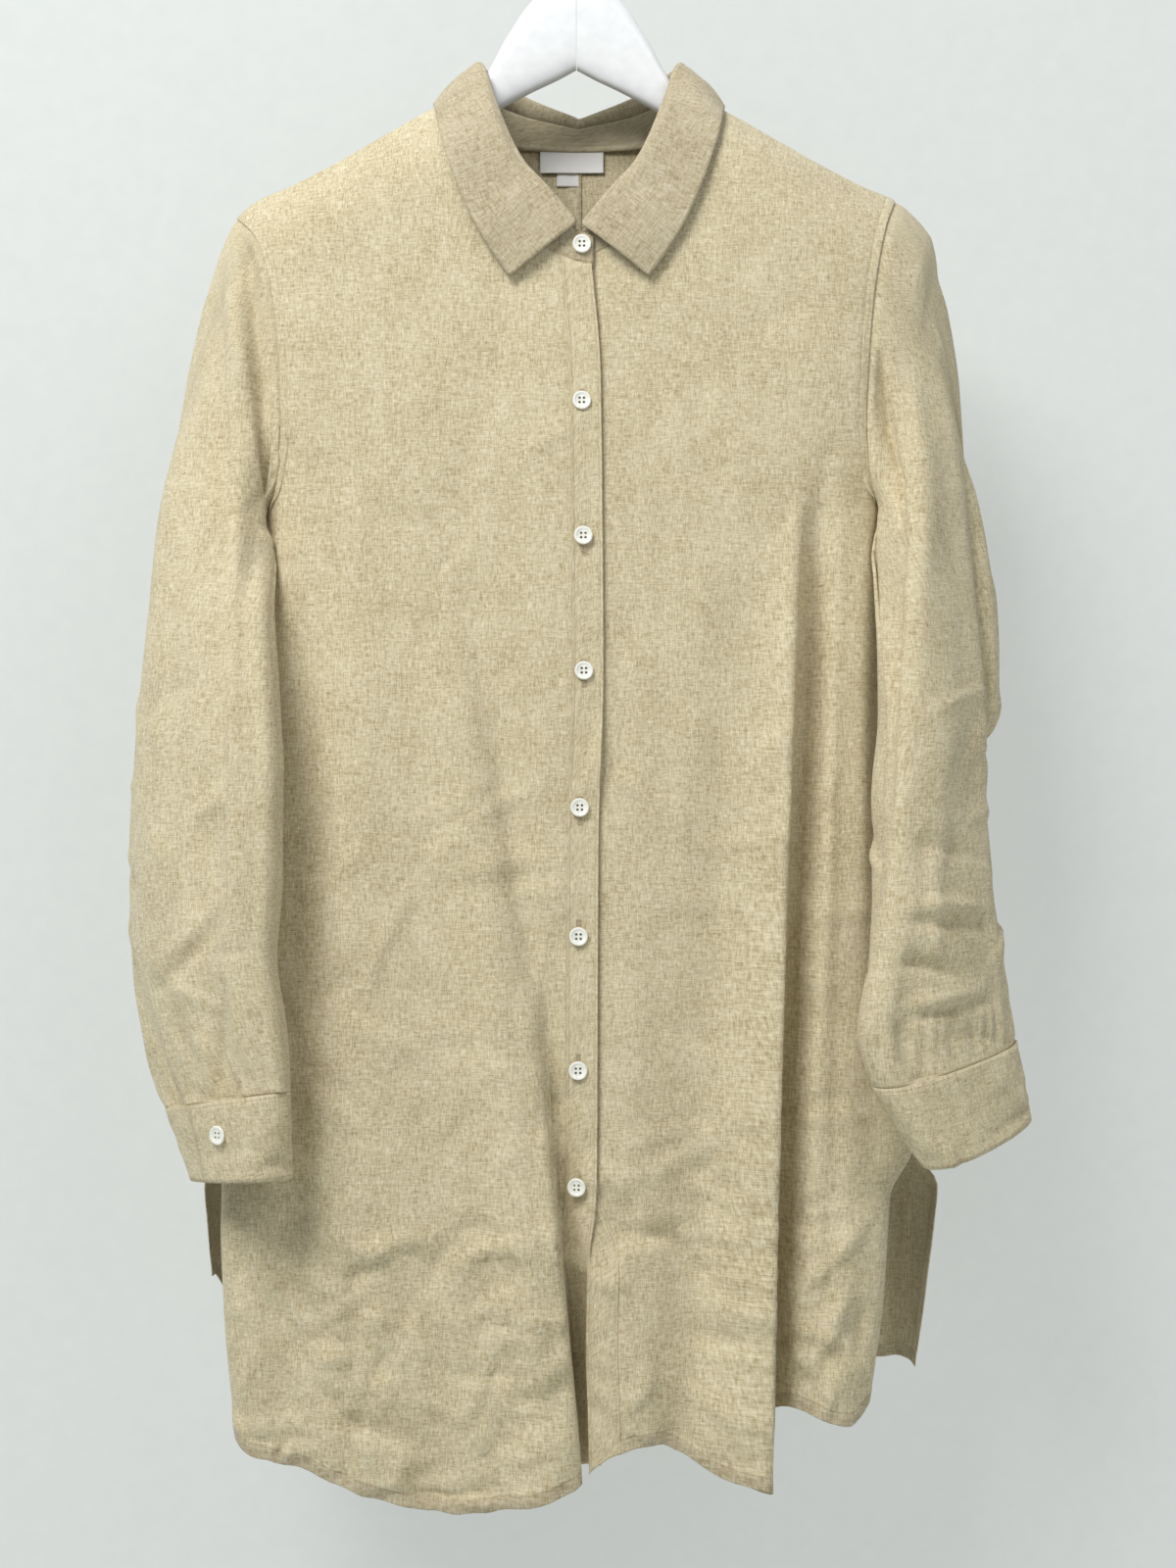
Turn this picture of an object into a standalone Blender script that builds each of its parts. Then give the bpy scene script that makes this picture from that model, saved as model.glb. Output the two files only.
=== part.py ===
"""Long-sleeved, button-front linen tunic hanging on a two-piece hanger.

Metres, +Z up. The origin is the inside of the hook's crown, where a rail carries the hanger.
The front faces -Y. Right and left are the wearer's, so the wearer's left is +X.
Every panel of cloth is a grid of points on a shape worked out from the tables below, made a
wall by a Solidify modifier. Neighbouring panels share those shapes, so they meet at their seams.
"""

import math

import bmesh
import bpy
import numpy as np
from mathutils import Matrix, Vector

# Driving sizes
CLOTH = 0.0012  # wall of a single layer of linen, as built
BAND = 0.0015  # wall of the interfaced pieces: collar, stand and cuffs
SEAM = 0.0010  # space left between two pieces that are sewn together
EDGE = 4.0  # how square the body is seen from above: 2 is an ellipse
RIDGE_DROP = 0.060  # how far below the shoulder line the body reaches its full depth
VENT_TOP = -0.775  # height where the side vents open
VENT_SPREAD = 0.014  # how far each edge of a vent stands off the side seam's plane
UNDERARM = {"right": -0.385, "left": -0.380}
PLACKET = 0.019  # width of each front band
BUTTON_RADIUS = 0.0057
BUTTON_SEAT = 0.0004  # space between a button and the cloth under it
BUTTON_HEIGHTS = (-0.3194, -0.4015, -0.4834, -0.5662, -0.6440, -0.7247, -0.7950)
BUTTON_INSET = 0.0118  # button centre to the edge of the band
HOOK_WIRE = 0.0020  # radius of the wire
HOOK_BOW = 0.0180  # inside radius of the hook
HOOK_FOOT = -0.0497

LINEN = ("linen", (0.60, 0.50, 0.36), 0.9, 0.0)
SHELL = ("button_shell", (0.86, 0.84, 0.78), 0.35, 0.0)
LABEL = ("label_tape", (0.84, 0.84, 0.82), 0.8, 0.0)
LACQUER = ("white_lacquer", (0.88, 0.89, 0.90), 0.4, 0.0)
STEEL = ("hook_steel", (0.62, 0.62, 0.63), 0.25, 1.0)


def eased(places, values, wanted):
    """Reads values between their places with a cubic that never overshoots them."""
    steps = np.diff(places)
    rises = np.diff(values) / steps
    slopes = np.concatenate([rises[:1], np.zeros(len(rises) - 1), rises[-1:]])
    turning = rises[:-1] * rises[1:]
    mean = 2 * turning / np.where(turning > 0, rises[:-1] + rises[1:], 1.0)
    slopes[1:-1] = np.where(turning > 0, mean, 0.0)
    wanted = np.clip(wanted, places[0], places[-1])
    i = np.clip(np.searchsorted(places, wanted) - 1, 0, len(steps) - 1)
    t = (wanted - places[i]) / steps[i]
    return (
        values[i] * (1 - t) ** 2 * (1 + 2 * t)
        + values[i + 1] * t**2 * (3 - 2 * t)
        + steps[i] * t * (1 - t) * (slopes[i] * (1 - t) - slopes[i + 1] * t)
    )


class Table:
    """Rows with named columns. The first one says where a row lies, and the rest are eased between rows."""

    def __init__(self, names, *rows):
        self.names = names.split()
        self.rows = np.array(sorted(rows), float)

    def column(self, name):
        return self.rows[:, self.names.index(name)]

    def __call__(self, name, where):
        return eased(self.rows[:, 0], self.column(name), where)


# The body seen from the front. Heights are below the hook, and widths and depths run from the middle.
BODY = Table(
    "height front_right back_right front_left back_left front_depth back_depth",
    (-0.120, 0.235, 0.235, 0.235, 0.235, 0.036, 0.040),
    (-0.200, 0.230, 0.230, 0.226, 0.226, 0.038, 0.041),
    (-0.280, 0.214, 0.214, 0.210, 0.210, 0.040, 0.042),
    (-0.385, 0.192, 0.192, 0.187, 0.187, 0.043, 0.042),
    (-0.500, 0.198, 0.198, 0.187, 0.187, 0.046, 0.043),
    (-0.650, 0.208, 0.208, 0.195, 0.195, 0.049, 0.046),
    (-0.775, 0.218, 0.218, 0.208, 0.208, 0.051, 0.050),
    (-0.805, 0.218, 0.2335, 0.193, 0.2265, 0.051, 0.051),
    (-0.870, 0.216, 0.2290, 0.188, 0.2200, 0.051, 0.053),
    (-0.930, 0.211, 0.2240, 0.180, 0.2120, 0.051, 0.054),
    (-1.010, 0.204, 0.2180, 0.172, 0.2060, 0.051, 0.054),
)
SHOULDER = Table(
    "across height",
    (0.000, -0.0950),
    (0.060, -0.1180),
    (0.0895, -0.1315),
    (0.125, -0.1510),
    (0.150, -0.1650),
    (0.178, -0.1790),
    (0.200, -0.1888),
    (0.212, -0.1992),
    (0.235, -0.2220),
)
ARMHOLE = {  # from the underarm, at 0, up to the shoulder, at 1
    "right": Table(
        "along across height",
        (0.00, 0.1920, -0.385),
        (0.15, 0.1850, -0.366),
        (0.35, 0.1805, -0.330),
        (0.55, 0.1820, -0.285),
        (0.75, 0.1870, -0.245),
        (0.90, 0.1965, -0.217),
        (1.00, 0.2120, -0.2000),
    ),
    "left": Table(
        "along across height",
        (0.00, 0.1870, -0.380),
        (0.15, 0.1805, -0.362),
        (0.35, 0.1772, -0.330),
        (0.55, 0.1790, -0.288),
        (0.75, 0.1830, -0.245),
        (0.90, 0.1895, -0.212),
        (1.00, 0.1985, -0.1880),
    ),
}
BACK_ARMHOLE_OUT = 0.006  # how much less the back is cut away there
NECK = {
    "front": Table(
        "across height",
        (0.000, -0.2345),
        (0.015, -0.2275),
        (0.034, -0.2120),
        (0.052, -0.1920),
        (0.066, -0.1680),
        (0.073, -0.1460),
        (0.0755, -0.1248),
    ),
    "back": Table(
        "across height",
        (0.000, -0.1456),
        (0.030, -0.1448),
        (0.050, -0.1420),
        (0.066, -0.1350),
        (0.0755, -0.1248),
    ),
}
HEM = {
    "front_right": Table(
        "across height",
        (-0.208, -0.948),
        (-0.192, -0.958),
        (-0.149, -0.969),
        (-0.103, -0.987),
        (-0.068, -0.993),
        (-0.039, -0.989),
        (-0.016, -0.974),
        (-0.005, -0.962),
        (0.012, -0.955),
    ),
    "front_left": Table(
        "across height",
        (0.006, -0.971),
        (0.013, -0.963),
        (0.024, -0.955),
        (0.043, -0.951),
        (0.060, -0.956),
        (0.078, -0.970),
        (0.096, -0.977),
        (0.110, -0.954),
        (0.126, -0.929),
        (0.142, -0.935),
        (0.160, -0.940),
        (0.169, -0.936),
        (0.180, -0.925),
    ),
    "back_right": Table(
        "across height",
        (-0.229, -0.861),
        (-0.205, -0.905),
        (-0.120, -0.955),
        (0.000, -0.972),
    ),
    "back_left": Table(
        "across height",
        (0.000, -0.972),
        (0.130, -0.948),
        (0.190, -0.920),
        (0.212, -0.9185),
    ),
}
# The two front edges. Above the lowest button the right front laps over the left. Below it the
# right front's band falls back, and the left front's edge comes forward past it.
LAP = Table(
    "height over_edge under_edge over_back under_back",
    (-0.230, 0.0094, -0.0085, -0.0024, 0.0),
    (-0.307, 0.0150, -0.0050, -0.0024, 0.0),
    (-0.486, 0.0165, -0.0040, -0.0024, 0.0),
    (-0.585, 0.0136, -0.0060, -0.0024, 0.0),
    (-0.790, 0.0126, -0.0064, -0.0024, 0.0),
    (-0.812, 0.0114, -0.0020, -0.0024, 0.0004),
    (-0.836, 0.0062, 0.0092, -0.0018, -0.0002),
    (-0.860, 0.0040, 0.0072, 0.0040, -0.0018),
    (-0.890, 0.0085, 0.0052, 0.0080, -0.0032),
    (-0.926, 0.0110, 0.0074, 0.0100, -0.0040),
    (-1.010, 0.0110, 0.0092, 0.0100, -0.0040),
)
LAP_FADE = 0.055  # how far from the middle the laps' offsets reach
FOLD_COLUMNS = "name top low at_top at_middle at_low reach_top reach_low out_top out_low lean"
# A fold runs from its top height to its low one through three places across the panel. It reaches so
# far to each side, stands out (or, where negative, in) by so much, and its crest leans towards +X.
FOLDS = {
    "front": (
        ("band_ridge", -0.44, -0.98, -0.090, -0.046, -0.0230, 0.030, 0.024, 0.001, 0.021, 0.011),
        ("band_valley", -0.48, -0.98, -0.052, -0.018, 0.0060, 0.020, 0.018, -0.001, -0.005, 0.0),
        ("sleeve_valley", -0.43, -0.80, -0.170, -0.164, -0.1700, 0.018, 0.024, -0.003, -0.006, 0.0),
        ("side_ridge", -0.42, -0.98, -0.132, -0.140, -0.1500, 0.040, 0.036, 0.003, 0.006, 0.0),
        ("middle_valley", -0.62, -1.00, -0.098, -0.086, -0.0900, 0.026, 0.024, 0.0, -0.005, 0.0),
        ("chest_valley", -0.36, -0.98, 0.108, 0.080, 0.0660, 0.024, 0.026, -0.001, -0.007, 0.0),
        ("main_ridge", -0.39, -0.99, 0.120, 0.113, 0.0950, 0.018, 0.022, 0.001, 0.012, 0.011),
        ("main_valley", -0.39, -0.99, 0.144, 0.136, 0.1200, 0.015, 0.020, -0.002, -0.024, -0.010),
        ("side_roll", -0.41, -0.97, 0.168, 0.162, 0.1560, 0.018, 0.022, 0.002, 0.006, 0.0),
        ("lap_roll", -0.45, -0.98, 0.040, 0.038, 0.0360, 0.022, 0.026, 0.0, 0.006, 0.0),
    ),
    "back": (
        ("right_ridge", -0.36, -0.96, -0.110, -0.124, -0.1400, 0.036, 0.044, 0.001, 0.012, 0.0),
        ("right_valley", -0.36, -0.97, -0.062, -0.070, -0.0820, 0.026, 0.034, -0.001, -0.012, 0.0),
        ("middle_ridge", -0.30, -0.98, 0.000, -0.006, -0.0100, 0.034, 0.044, 0.002, 0.012, 0.0),
        ("left_valley", -0.36, -0.97, 0.056, 0.062, 0.0700, 0.026, 0.034, -0.001, -0.013, 0.0),
        ("left_ridge", -0.36, -0.95, 0.106, 0.120, 0.1340, 0.036, 0.040, 0.001, 0.012, 0.0),
    ),
}
# Each sleeve is a flattened tube: its outer edge, its inner edge, and how far it stands out in front of
# and behind the line between them. down is 0 at the level of the underarm, 1 at the cuff's seam and 2
# at the cuff's edge.
SLEEVE = {
    "right": Table(
        "down out_x out_y out_z in_x in_y in_z front back",
        (0.00, 0.2545, 0.006, -0.400, 0.1870, -0.048, -0.402, 0.0250, 0.0200),
        (0.12, 0.2575, 0.004, -0.439, 0.1878, -0.060, -0.441, 0.0250, 0.0220),
        (0.27, 0.2635, 0.000, -0.490, 0.1836, -0.074, -0.492, 0.0250, 0.0240),
        (0.44, 0.2680, -0.004, -0.550, 0.1800, -0.082, -0.548, 0.0265, 0.0250),
        (0.62, 0.2690, -0.008, -0.613, 0.1800, -0.086, -0.606, 0.0270, 0.0255),
        (0.76, 0.2668, -0.012, -0.665, 0.1830, -0.088, -0.652, 0.0260, 0.0250),
        (0.90, 0.2590, -0.018, -0.712, 0.1760, -0.090, -0.697, 0.0245, 0.0230),
        (1.00, 0.2455, -0.026, -0.750, 0.1730, -0.090, -0.733, 0.0215, 0.0200),
        (2.00, 0.2280, -0.034, -0.792, 0.1730, -0.088, -0.785, 0.0205, 0.0190),
    ),
    "left": Table(
        "down out_x out_y out_z in_x in_y in_z front back",
        (0.00, 0.2545, 0.016, -0.400, 0.1810, -0.048, -0.402, 0.0240, 0.0200),
        (0.15, 0.2595, 0.014, -0.449, 0.1830, -0.058, -0.449, 0.0250, 0.0220),
        (0.32, 0.2570, 0.006, -0.504, 0.1855, -0.070, -0.506, 0.0260, 0.0240),
        (0.50, 0.2430, -0.008, -0.560, 0.1830, -0.080, -0.564, 0.0265, 0.0250),
        (0.66, 0.2480, -0.020, -0.604, 0.1790, -0.086, -0.610, 0.0265, 0.0250),
        (0.80, 0.2540, -0.028, -0.644, 0.1725, -0.092, -0.652, 0.0255, 0.0240),
        (0.92, 0.2590, -0.034, -0.685, 0.1660, -0.094, -0.697, 0.0240, 0.0225),
        (1.00, 0.2625, -0.038, -0.707, 0.1775, -0.092, -0.730, 0.0210, 0.0200),
        (2.00, 0.2700, -0.038, -0.754, 0.2090, -0.084, -0.779, 0.0195, 0.0190),
    ),
}
SLEEVE_SQUARE = 0.80  # power that squares the tube's section; 1 is an ellipse
SLEEVE_FOLD_COLUMNS = "name top low at_top at_low reach out_top out_low"
# Places round a sleeve are turns: 0 outer edge, 0.25 front, 0.5 inner edge, 0.75 back.
SLEEVE_FOLDS = {
    "right": (
        ("hanging_ridge", -1.00, 0.60, 0.14, 0.22, 0.11, 0.006, 0.003),
        ("armhole_valley", -0.90, 0.30, 0.36, 0.42, 0.10, -0.012, -0.002),
        ("elbow_valley", 0.30, 1.00, 0.34, 0.31, 0.07, -0.001, -0.006),
        ("pleat_valley", 0.72, 1.00, 0.14, 0.17, 0.06, -0.001, -0.007),
        ("back_valley", -0.60, 0.95, 0.72, 0.78, 0.10, -0.006, -0.004),
    ),
    "left": (
        ("hanging_ridge", -0.80, 0.55, 0.28, 0.34, 0.10, 0.006, 0.003),
        ("armhole_valley", -0.90, 0.25, 0.40, 0.44, 0.08, -0.008, -0.002),
        ("cap_hollow", -0.85, -0.15, 0.00, 0.00, 0.20, -0.014, -0.010),
        ("outer_crease", -0.60, 0.60, 0.08, 0.12, 0.07, -0.003, -0.005),
        ("pleat_valley", 0.76, 1.00, 0.36, 0.34, 0.06, -0.001, -0.005),
        ("back_valley", -0.60, 0.95, 0.72, 0.78, 0.10, -0.006, -0.004),
    ),
}
CUFF_LAP = {"right": 0.235, "left": 0.90}  # where round the sleeve the cuff's upper end lies
CUFF_OVERLAP = 0.09  # share of a turn that the ends overlap
CUFF_STEP = 0.0021  # how far the upper end stands off the lower one
# The collar from the front, at 0, past the shoulder, at 5, to the middle of the back, at 8. The fold is
# where the fall turns over the stand, and the rim is the fall's free edge. Places run from the middle.
# share is how far up from the neck to the fold the stand reaches.
COLLAR = Table(
    "station neck_x fold_x fold_y fold_z rim_x rim_z share",
    (0, 0.0000, 0.0020, -0.0385, -0.2100, 0.0425, -0.2440, 0.82),
    (1, 0.0340, 0.0185, -0.0370, -0.1900, 0.0530, -0.2290, 0.78),
    (2, 0.0520, 0.0345, -0.0330, -0.1720, 0.0665, -0.2060, 0.72),
    (3, 0.0660, 0.0465, -0.0250, -0.1480, 0.0775, -0.1790, 0.66),
    (4, 0.0730, 0.0550, -0.0140, -0.1230, 0.0860, -0.1520, 0.62),
    (5, 0.0755, 0.0595, 0.0020, -0.1040, 0.0905, -0.1250, 0.60),
    (6, 0.0640, 0.0500, 0.0270, -0.1050, 0.0800, -0.1420, 0.60),
    (7, 0.0400, 0.0320, 0.0430, -0.1120, 0.0500, -0.1600, 0.62),
    (8, 0.0000, 0.0000, 0.0490, -0.1230, 0.0000, -0.1680, 0.64),
)
COLLAR_MIDDLE = 0.002  # the closed collar sits this far towards the wearer's left
STAND_LAP = 0.0105  # how far each end of the stand runs past the middle
ROLL = 0.0026  # radius of the fall's turn over the stand
FALL_CLEAR = 0.0057  # space between the fall and the shirt under it
FALL_BOW = 0.0020  # how far the fall bows out between its turn and its rim
HANGER = Table(
    "across top bottom half",
    (0.0000, -0.0500, -0.1063, 0.0070),
    (0.0120, -0.0520, -0.1127, 0.0070),
    (0.0265, -0.0622, -0.1195, 0.0070),
    (0.0440, -0.0870, -0.1288, 0.0070),
    (0.0545, -0.1064, -0.1352, 0.0070),
    (0.0660, -0.1230, -0.1416, 0.0070),
    (0.0895, -0.1360, -0.1550, 0.0075),
    (0.1240, -0.1555, -0.1760, 0.0090),
    (0.1580, -0.1740, -0.1940, 0.0100),
    (0.1880, -0.1892, -0.2085, 0.0105),
    (0.1970, -0.1975, -0.2075, 0.0070),
)
HANGER_JOINT = 0.00025  # how far each arm stops short of the middle
HANGER_RUNS = ((HANGER_JOINT, 0.066, 6), (0.066, 0.188, 5), (0.188, 0.197, 2))
LABELS = (  # left, right, top and bottom edge, and distance off the back
    ("neck_label", -0.0235, 0.0172, -0.1478, -0.1612, 0.0021),
    ("size_label", -0.0128, 0.0030, -0.1500, -0.1695, 0.0037),
)
LABEL_WALL = 0.0006
BUTTON_PROFILE = (  # share of the radius, height off the back
    (0.00, 0.0000),
    (0.90, 0.0000),
    (1.00, 0.0010),
    (0.88, 0.0021),
    (0.62, 0.0013),
    (0.00, 0.0013),
)
STAND_BUTTON = (0.0035, -0.2240)  # place across and height of the button on the stand
CAP_FALL = {"right": (0.30, -0.95), "left": (0.75, -0.65)}  # which way each sleeve leaves the shoulder
REST = 0.0035  # space kept between the sleeves and the body they hang against
UNDERARM_ROW = 0.62  # how far up a panel's rows the underarm lies
NECK_ROW = 0.80  # and the low point of the neck
HEM_LEVEL = -0.96  # height at which a hem meets its inner edge


def clear_scene():
    for thing in list(bpy.data.objects):
        bpy.data.objects.remove(thing)


def material(finish):
    name, colour, roughness, metallic = finish
    made = bpy.data.materials.get(name) or bpy.data.materials.new(name)
    made.use_nodes = True
    shader = made.node_tree.nodes["Principled BSDF"]
    shader.inputs["Base Color"].default_value = (*colour, 1.0)
    shader.inputs["Roughness"].default_value = roughness
    shader.inputs["Metallic"].default_value = metallic
    return made


def add_object(name, mesh, finish):
    thing = bpy.data.objects.new(name, mesh)
    mesh.materials.append(material(finish))
    bpy.context.scene.collection.objects.link(thing)
    mesh.shade_smooth()
    return thing


def wall(name, grid, thick, finish=LINEN, ring=False):
    """A sheet through a grid of points, given a thickness. A ring joins its last column to its first."""
    rows, columns = grid.shape[:2]
    faces = []
    for i in range(rows - 1):
        for j in range(columns if ring else columns - 1):
            k = (j + 1) % columns
            faces.append((i * columns + j, i * columns + k, (i + 1) * columns + k, (i + 1) * columns + j))
    mesh = bpy.data.meshes.new(name)
    mesh.from_pydata(grid.reshape(-1, 3).tolist(), [], faces)
    thing = add_object(name, mesh, finish)
    solid = thing.modifiers.new("thickness", "SOLIDIFY")
    solid.thickness = thick
    solid.offset = 0.0
    return thing


def stations(*runs):
    """Places along an edge: each run is (from, to, how many steps)."""
    steps = [np.linspace(start, end, count, endpoint=False) for start, end, count in runs]
    return np.concatenate([*steps, [runs[-1][1]]])


def bell(distance):
    """1 in the middle of a fold, 0 from its reach outwards."""
    return 0.5 * (1 + np.cos(np.pi * np.clip(distance, -1, 1)))


def unit(way):
    return way / np.linalg.norm(way, axis=-1, keepdims=True)


def fold_shift(face, x, z):
    """How far the folds of a face move a point across and outwards."""
    across, outwards = np.zeros_like(x), np.zeros_like(x)
    names = FOLD_COLUMNS.split()
    for row in FOLDS[face]:
        fold = dict(zip(names, row))
        share = np.clip((fold["top"] - z) / (fold["top"] - fold["low"]), 0, 1)
        bend = 4 * fold["at_middle"] - 3 * fold["at_top"] - fold["at_low"]
        turn = 2 * (fold["at_top"] + fold["at_low"] - 2 * fold["at_middle"])
        centre = fold["at_top"] + bend * share + turn * share**2
        reach = fold["reach_top"] + (fold["reach_low"] - fold["reach_top"]) * share
        shape = bell((x - centre) / reach) * np.clip(share / 0.12, 0, 1)
        outwards += shape * (fold["out_top"] + (fold["out_low"] - fold["out_top"]) * share)
        across += shape * fold["lean"] * share
    return across, outwards


def half_width(face, x, z):
    return np.where(x < 0, BODY(face + "_right", z), BODY(face + "_left", z))


def side_depth(across, z):
    """How far a panel's side edge stands from the plane of the side seams, which is more at the vents."""
    return SEAM / 2 + VENT_SPREAD * np.clip((VENT_TOP - z) / 0.05, 0, 1) * across**6


def body_point(face, x, z, out=0.0):
    """A point of the front or back, at a place across and a height. out moves it off the cloth."""
    x, z = np.asarray(x, float), np.asarray(z, float)
    sign = -1.0 if face == "front" else 1.0
    across = np.clip(np.abs(x) / half_width(face, x, z), 0, 1)
    drop = np.clip((SHOULDER("height", np.abs(x)) - z) / RIDGE_DROP, 0, 1)
    rounding = (1 - across**EDGE) ** (1 / EDGE) * np.sqrt(1 - (1 - drop) ** 2)
    shift, fold = fold_shift(face, x, z)
    depth = side_depth(across, z) + BODY(face + "_depth", z) * rounding + fold + out
    return np.stack([x + shift, sign * depth, z], axis=-1)


def lap_offset(x, z, layer):
    """How far back a front is set by the way that the two front edges lap."""
    return LAP(layer + "_back", z) * bell(x / LAP_FADE)


def lap_point(x, z, layer, out=0.0):
    point = body_point("front", x, z, out)
    point[..., 1] += lap_offset(np.asarray(x, float), z, layer)
    return point


def off_body(points, side, space):
    """Moves points that lie in the body, or nearer to it than this space, straight out from its middle."""
    x, y, z = np.moveaxis(points, -1, 0)
    level = UNDERARM[side]
    heights, edge = ARMHOLE[side].column("height"), ARMHOLE[side].column("across")
    beside = (z < level) | (np.abs(x) < np.interp(z, heights, edge))
    width, depth = np.empty_like(x), np.empty_like(x)
    for face, mine in (("front", y <= 0), ("back", y > 0)):
        width[mine] = half_width(face, x, z)[mine]
        whole = side_depth(1.0, z) + BODY(face + "_depth", z) + np.maximum(fold_shift(face, x, z)[1], 0)
        depth[mine] = whole[mine]
    level_set = (np.abs(x) / (width + space)) ** EDGE + (np.abs(y) / (depth + space)) ** EDGE
    scale = np.where(beside & (z < -0.30), np.maximum(level_set, 1e-6) ** (-1 / EDGE), 1.0)
    scale = np.maximum(scale, 1.0)
    return np.stack([x * scale, y * scale, z], axis=-1)


def to_share(face, x, z):
    """A place across as a share of a quarter turn, which crowds the columns towards the side."""
    return np.arcsin(np.clip(np.abs(x) / half_width(face, x, z), 0, 1)) / (math.pi / 2)


def from_share(face, share, z, sign):
    width = half_width(face, np.full_like(share, sign), z)
    return sign * width * np.sin(share * math.pi / 2)


def filled(bottom, top, side, middle):
    """A grid of places inside four edges that meet at their ends. Columns run from the side to the middle."""
    u, v = bottom[None, :, 2:], side[:, None, 2:]
    b, t, s, m = bottom[None, :, :2], top[None, :, :2], side[:, None, :2], middle[:, None, :2]
    corners = (1 - u) * ((1 - v) * b[:, :1] + v * t[:, :1]) + u * ((1 - v) * b[:, -1:] + v * t[:, -1:])
    return (1 - v) * b + v * t + (1 - u) * s + u * m - corners


def armhole(side, face, along):
    """Place across and height of a point of the armhole, from the underarm at 0 to the shoulder at 1."""
    sign = -1.0 if side == "right" else 1.0
    x = ARMHOLE[side]("across", along)
    if face == "back":
        x = x + BACK_ARMHOLE_OUT * np.sin(np.pi * along)
    z = ARMHOLE[side]("height", along)
    return sign * x, np.where(along > 0.999, SHOULDER("height", x), z)


def hem_line(face, side, x_inner, across):
    """The hem of a panel, from its side corner to its inner edge."""
    sign = -1.0 if side == "right" else 1.0
    hem = HEM[face + "_" + side]
    x_side = hem.rows[0 if side == "right" else -1][0]
    low = hem("height", np.array([x_side, x_inner]))
    ends = to_share(face, np.array([x_side, x_inner]), low)
    x = from_share(face, ends[0] + (ends[1] - ends[0]) * across, low[0] + (low[1] - low[0]) * across, sign)
    x[-1] = x_inner
    return x, hem("height", x)


def middle_heights(face, side, x_inner, v):
    """Heights of a panel's rows along its inner edge, up to the neck."""
    start = float(HEM[face + "_" + side]("height", x_inner(HEM_LEVEL)))
    top = float(NECK[face]("height", abs(x_inner(-0.235))))
    return np.interp(v, [0, UNDERARM_ROW, NECK_ROW], [start, UNDERARM[side], top])


def panel_places(face, side, x_inner, columns, rows):
    """Shares and heights of a panel's points. Columns run from the side to the middle, and rows go up."""
    sign = -1.0 if side == "right" else 1.0
    neck_x = NECK[face].rows[-1][0]

    def edge(x, z, steps):
        return np.stack([to_share(face, x, z), z, steps], axis=-1)

    x, z = hem_line(face, side, x_inner(HEM_LEVEL), columns)
    bottom, corner = edge(x, z, columns), z[0]
    tip = armhole(side, face, np.array([1.0]))[0]
    x = tip + (sign * neck_x - tip) * columns
    top = edge(x, SHOULDER("height", np.abs(x)), columns)

    x, z = armhole(side, face, np.clip((rows - UNDERARM_ROW) / (1 - UNDERARM_ROW), 0, 1))
    low = corner + (UNDERARM[side] - corner) * np.clip(rows / UNDERARM_ROW, 0, 1)
    z = np.where(rows <= UNDERARM_ROW, low, z)
    x = np.where(rows <= UNDERARM_ROW, sign * half_width(face, np.full_like(z, sign), z), x)
    side_edge = edge(x, z, rows)

    z = middle_heights(face, side, x_inner, rows)
    x_start = abs(float(x_inner(-0.235)))
    along = np.clip((rows - NECK_ROW) / (1 - NECK_ROW), 0, 1)
    neck = x_start + (neck_x - x_start) * np.sin(along * math.pi / 2)
    x = np.where(rows > NECK_ROW, sign * neck, x_inner(z))
    z = np.where(rows > NECK_ROW, NECK[face]("height", neck), z)
    middle = edge(x, z, rows)
    return filled(bottom, top, side_edge, middle)


def body_panel(name, face, side, x_inner, place, columns, rows):
    places = panel_places(face, side, x_inner, columns, rows)
    sign = -1.0 if side == "right" else 1.0
    x = from_share(face, places[..., 0], places[..., 1], sign)
    return wall(name, place(x, places[..., 1]), CLOTH)


HEM_ROWS = ((0, 0.10, 3), (0.10, 0.20, 6), (0.20, UNDERARM_ROW, 11))
NECK_ROWS = ((NECK_ROW, 0.94, 3), (0.94, 1, 3))
FRONT_ROWS = stations(*HEM_ROWS, (UNDERARM_ROW, NECK_ROW, 4), *NECK_ROWS)
BACK_ROWS = stations((0, UNDERARM_ROW, 13), (UNDERARM_ROW, NECK_ROW, 3), *NECK_ROWS)


def over_edge(z):
    return LAP("over_edge", z)


def over_seam(z):
    """Where the right front's band is sewn on."""
    return over_edge(z) - PLACKET


def under_edge(z):
    return LAP("under_edge", z)


def under_seam(z):
    """Where the left front's band is sewn on."""
    return under_edge(z) + PLACKET


def build_fronts():
    columns = stations((0, 0.4, 5), (0.4, 1, 9))
    body_panel(
        "front_right", "front", "right", lambda z: over_seam(z) - SEAM / 2,
        lambda x, z: lap_point(x, z, "over"), columns, FRONT_ROWS,
    )
    columns = stations((0, 0.34, 5), (0.34, 0.62, 8), (0.62, 1, 4))
    body_panel(
        "front_left", "front", "left", lambda z: under_seam(z) + SEAM / 2,
        lambda x, z: lap_point(x, z, "under"), columns, FRONT_ROWS,
    )


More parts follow.
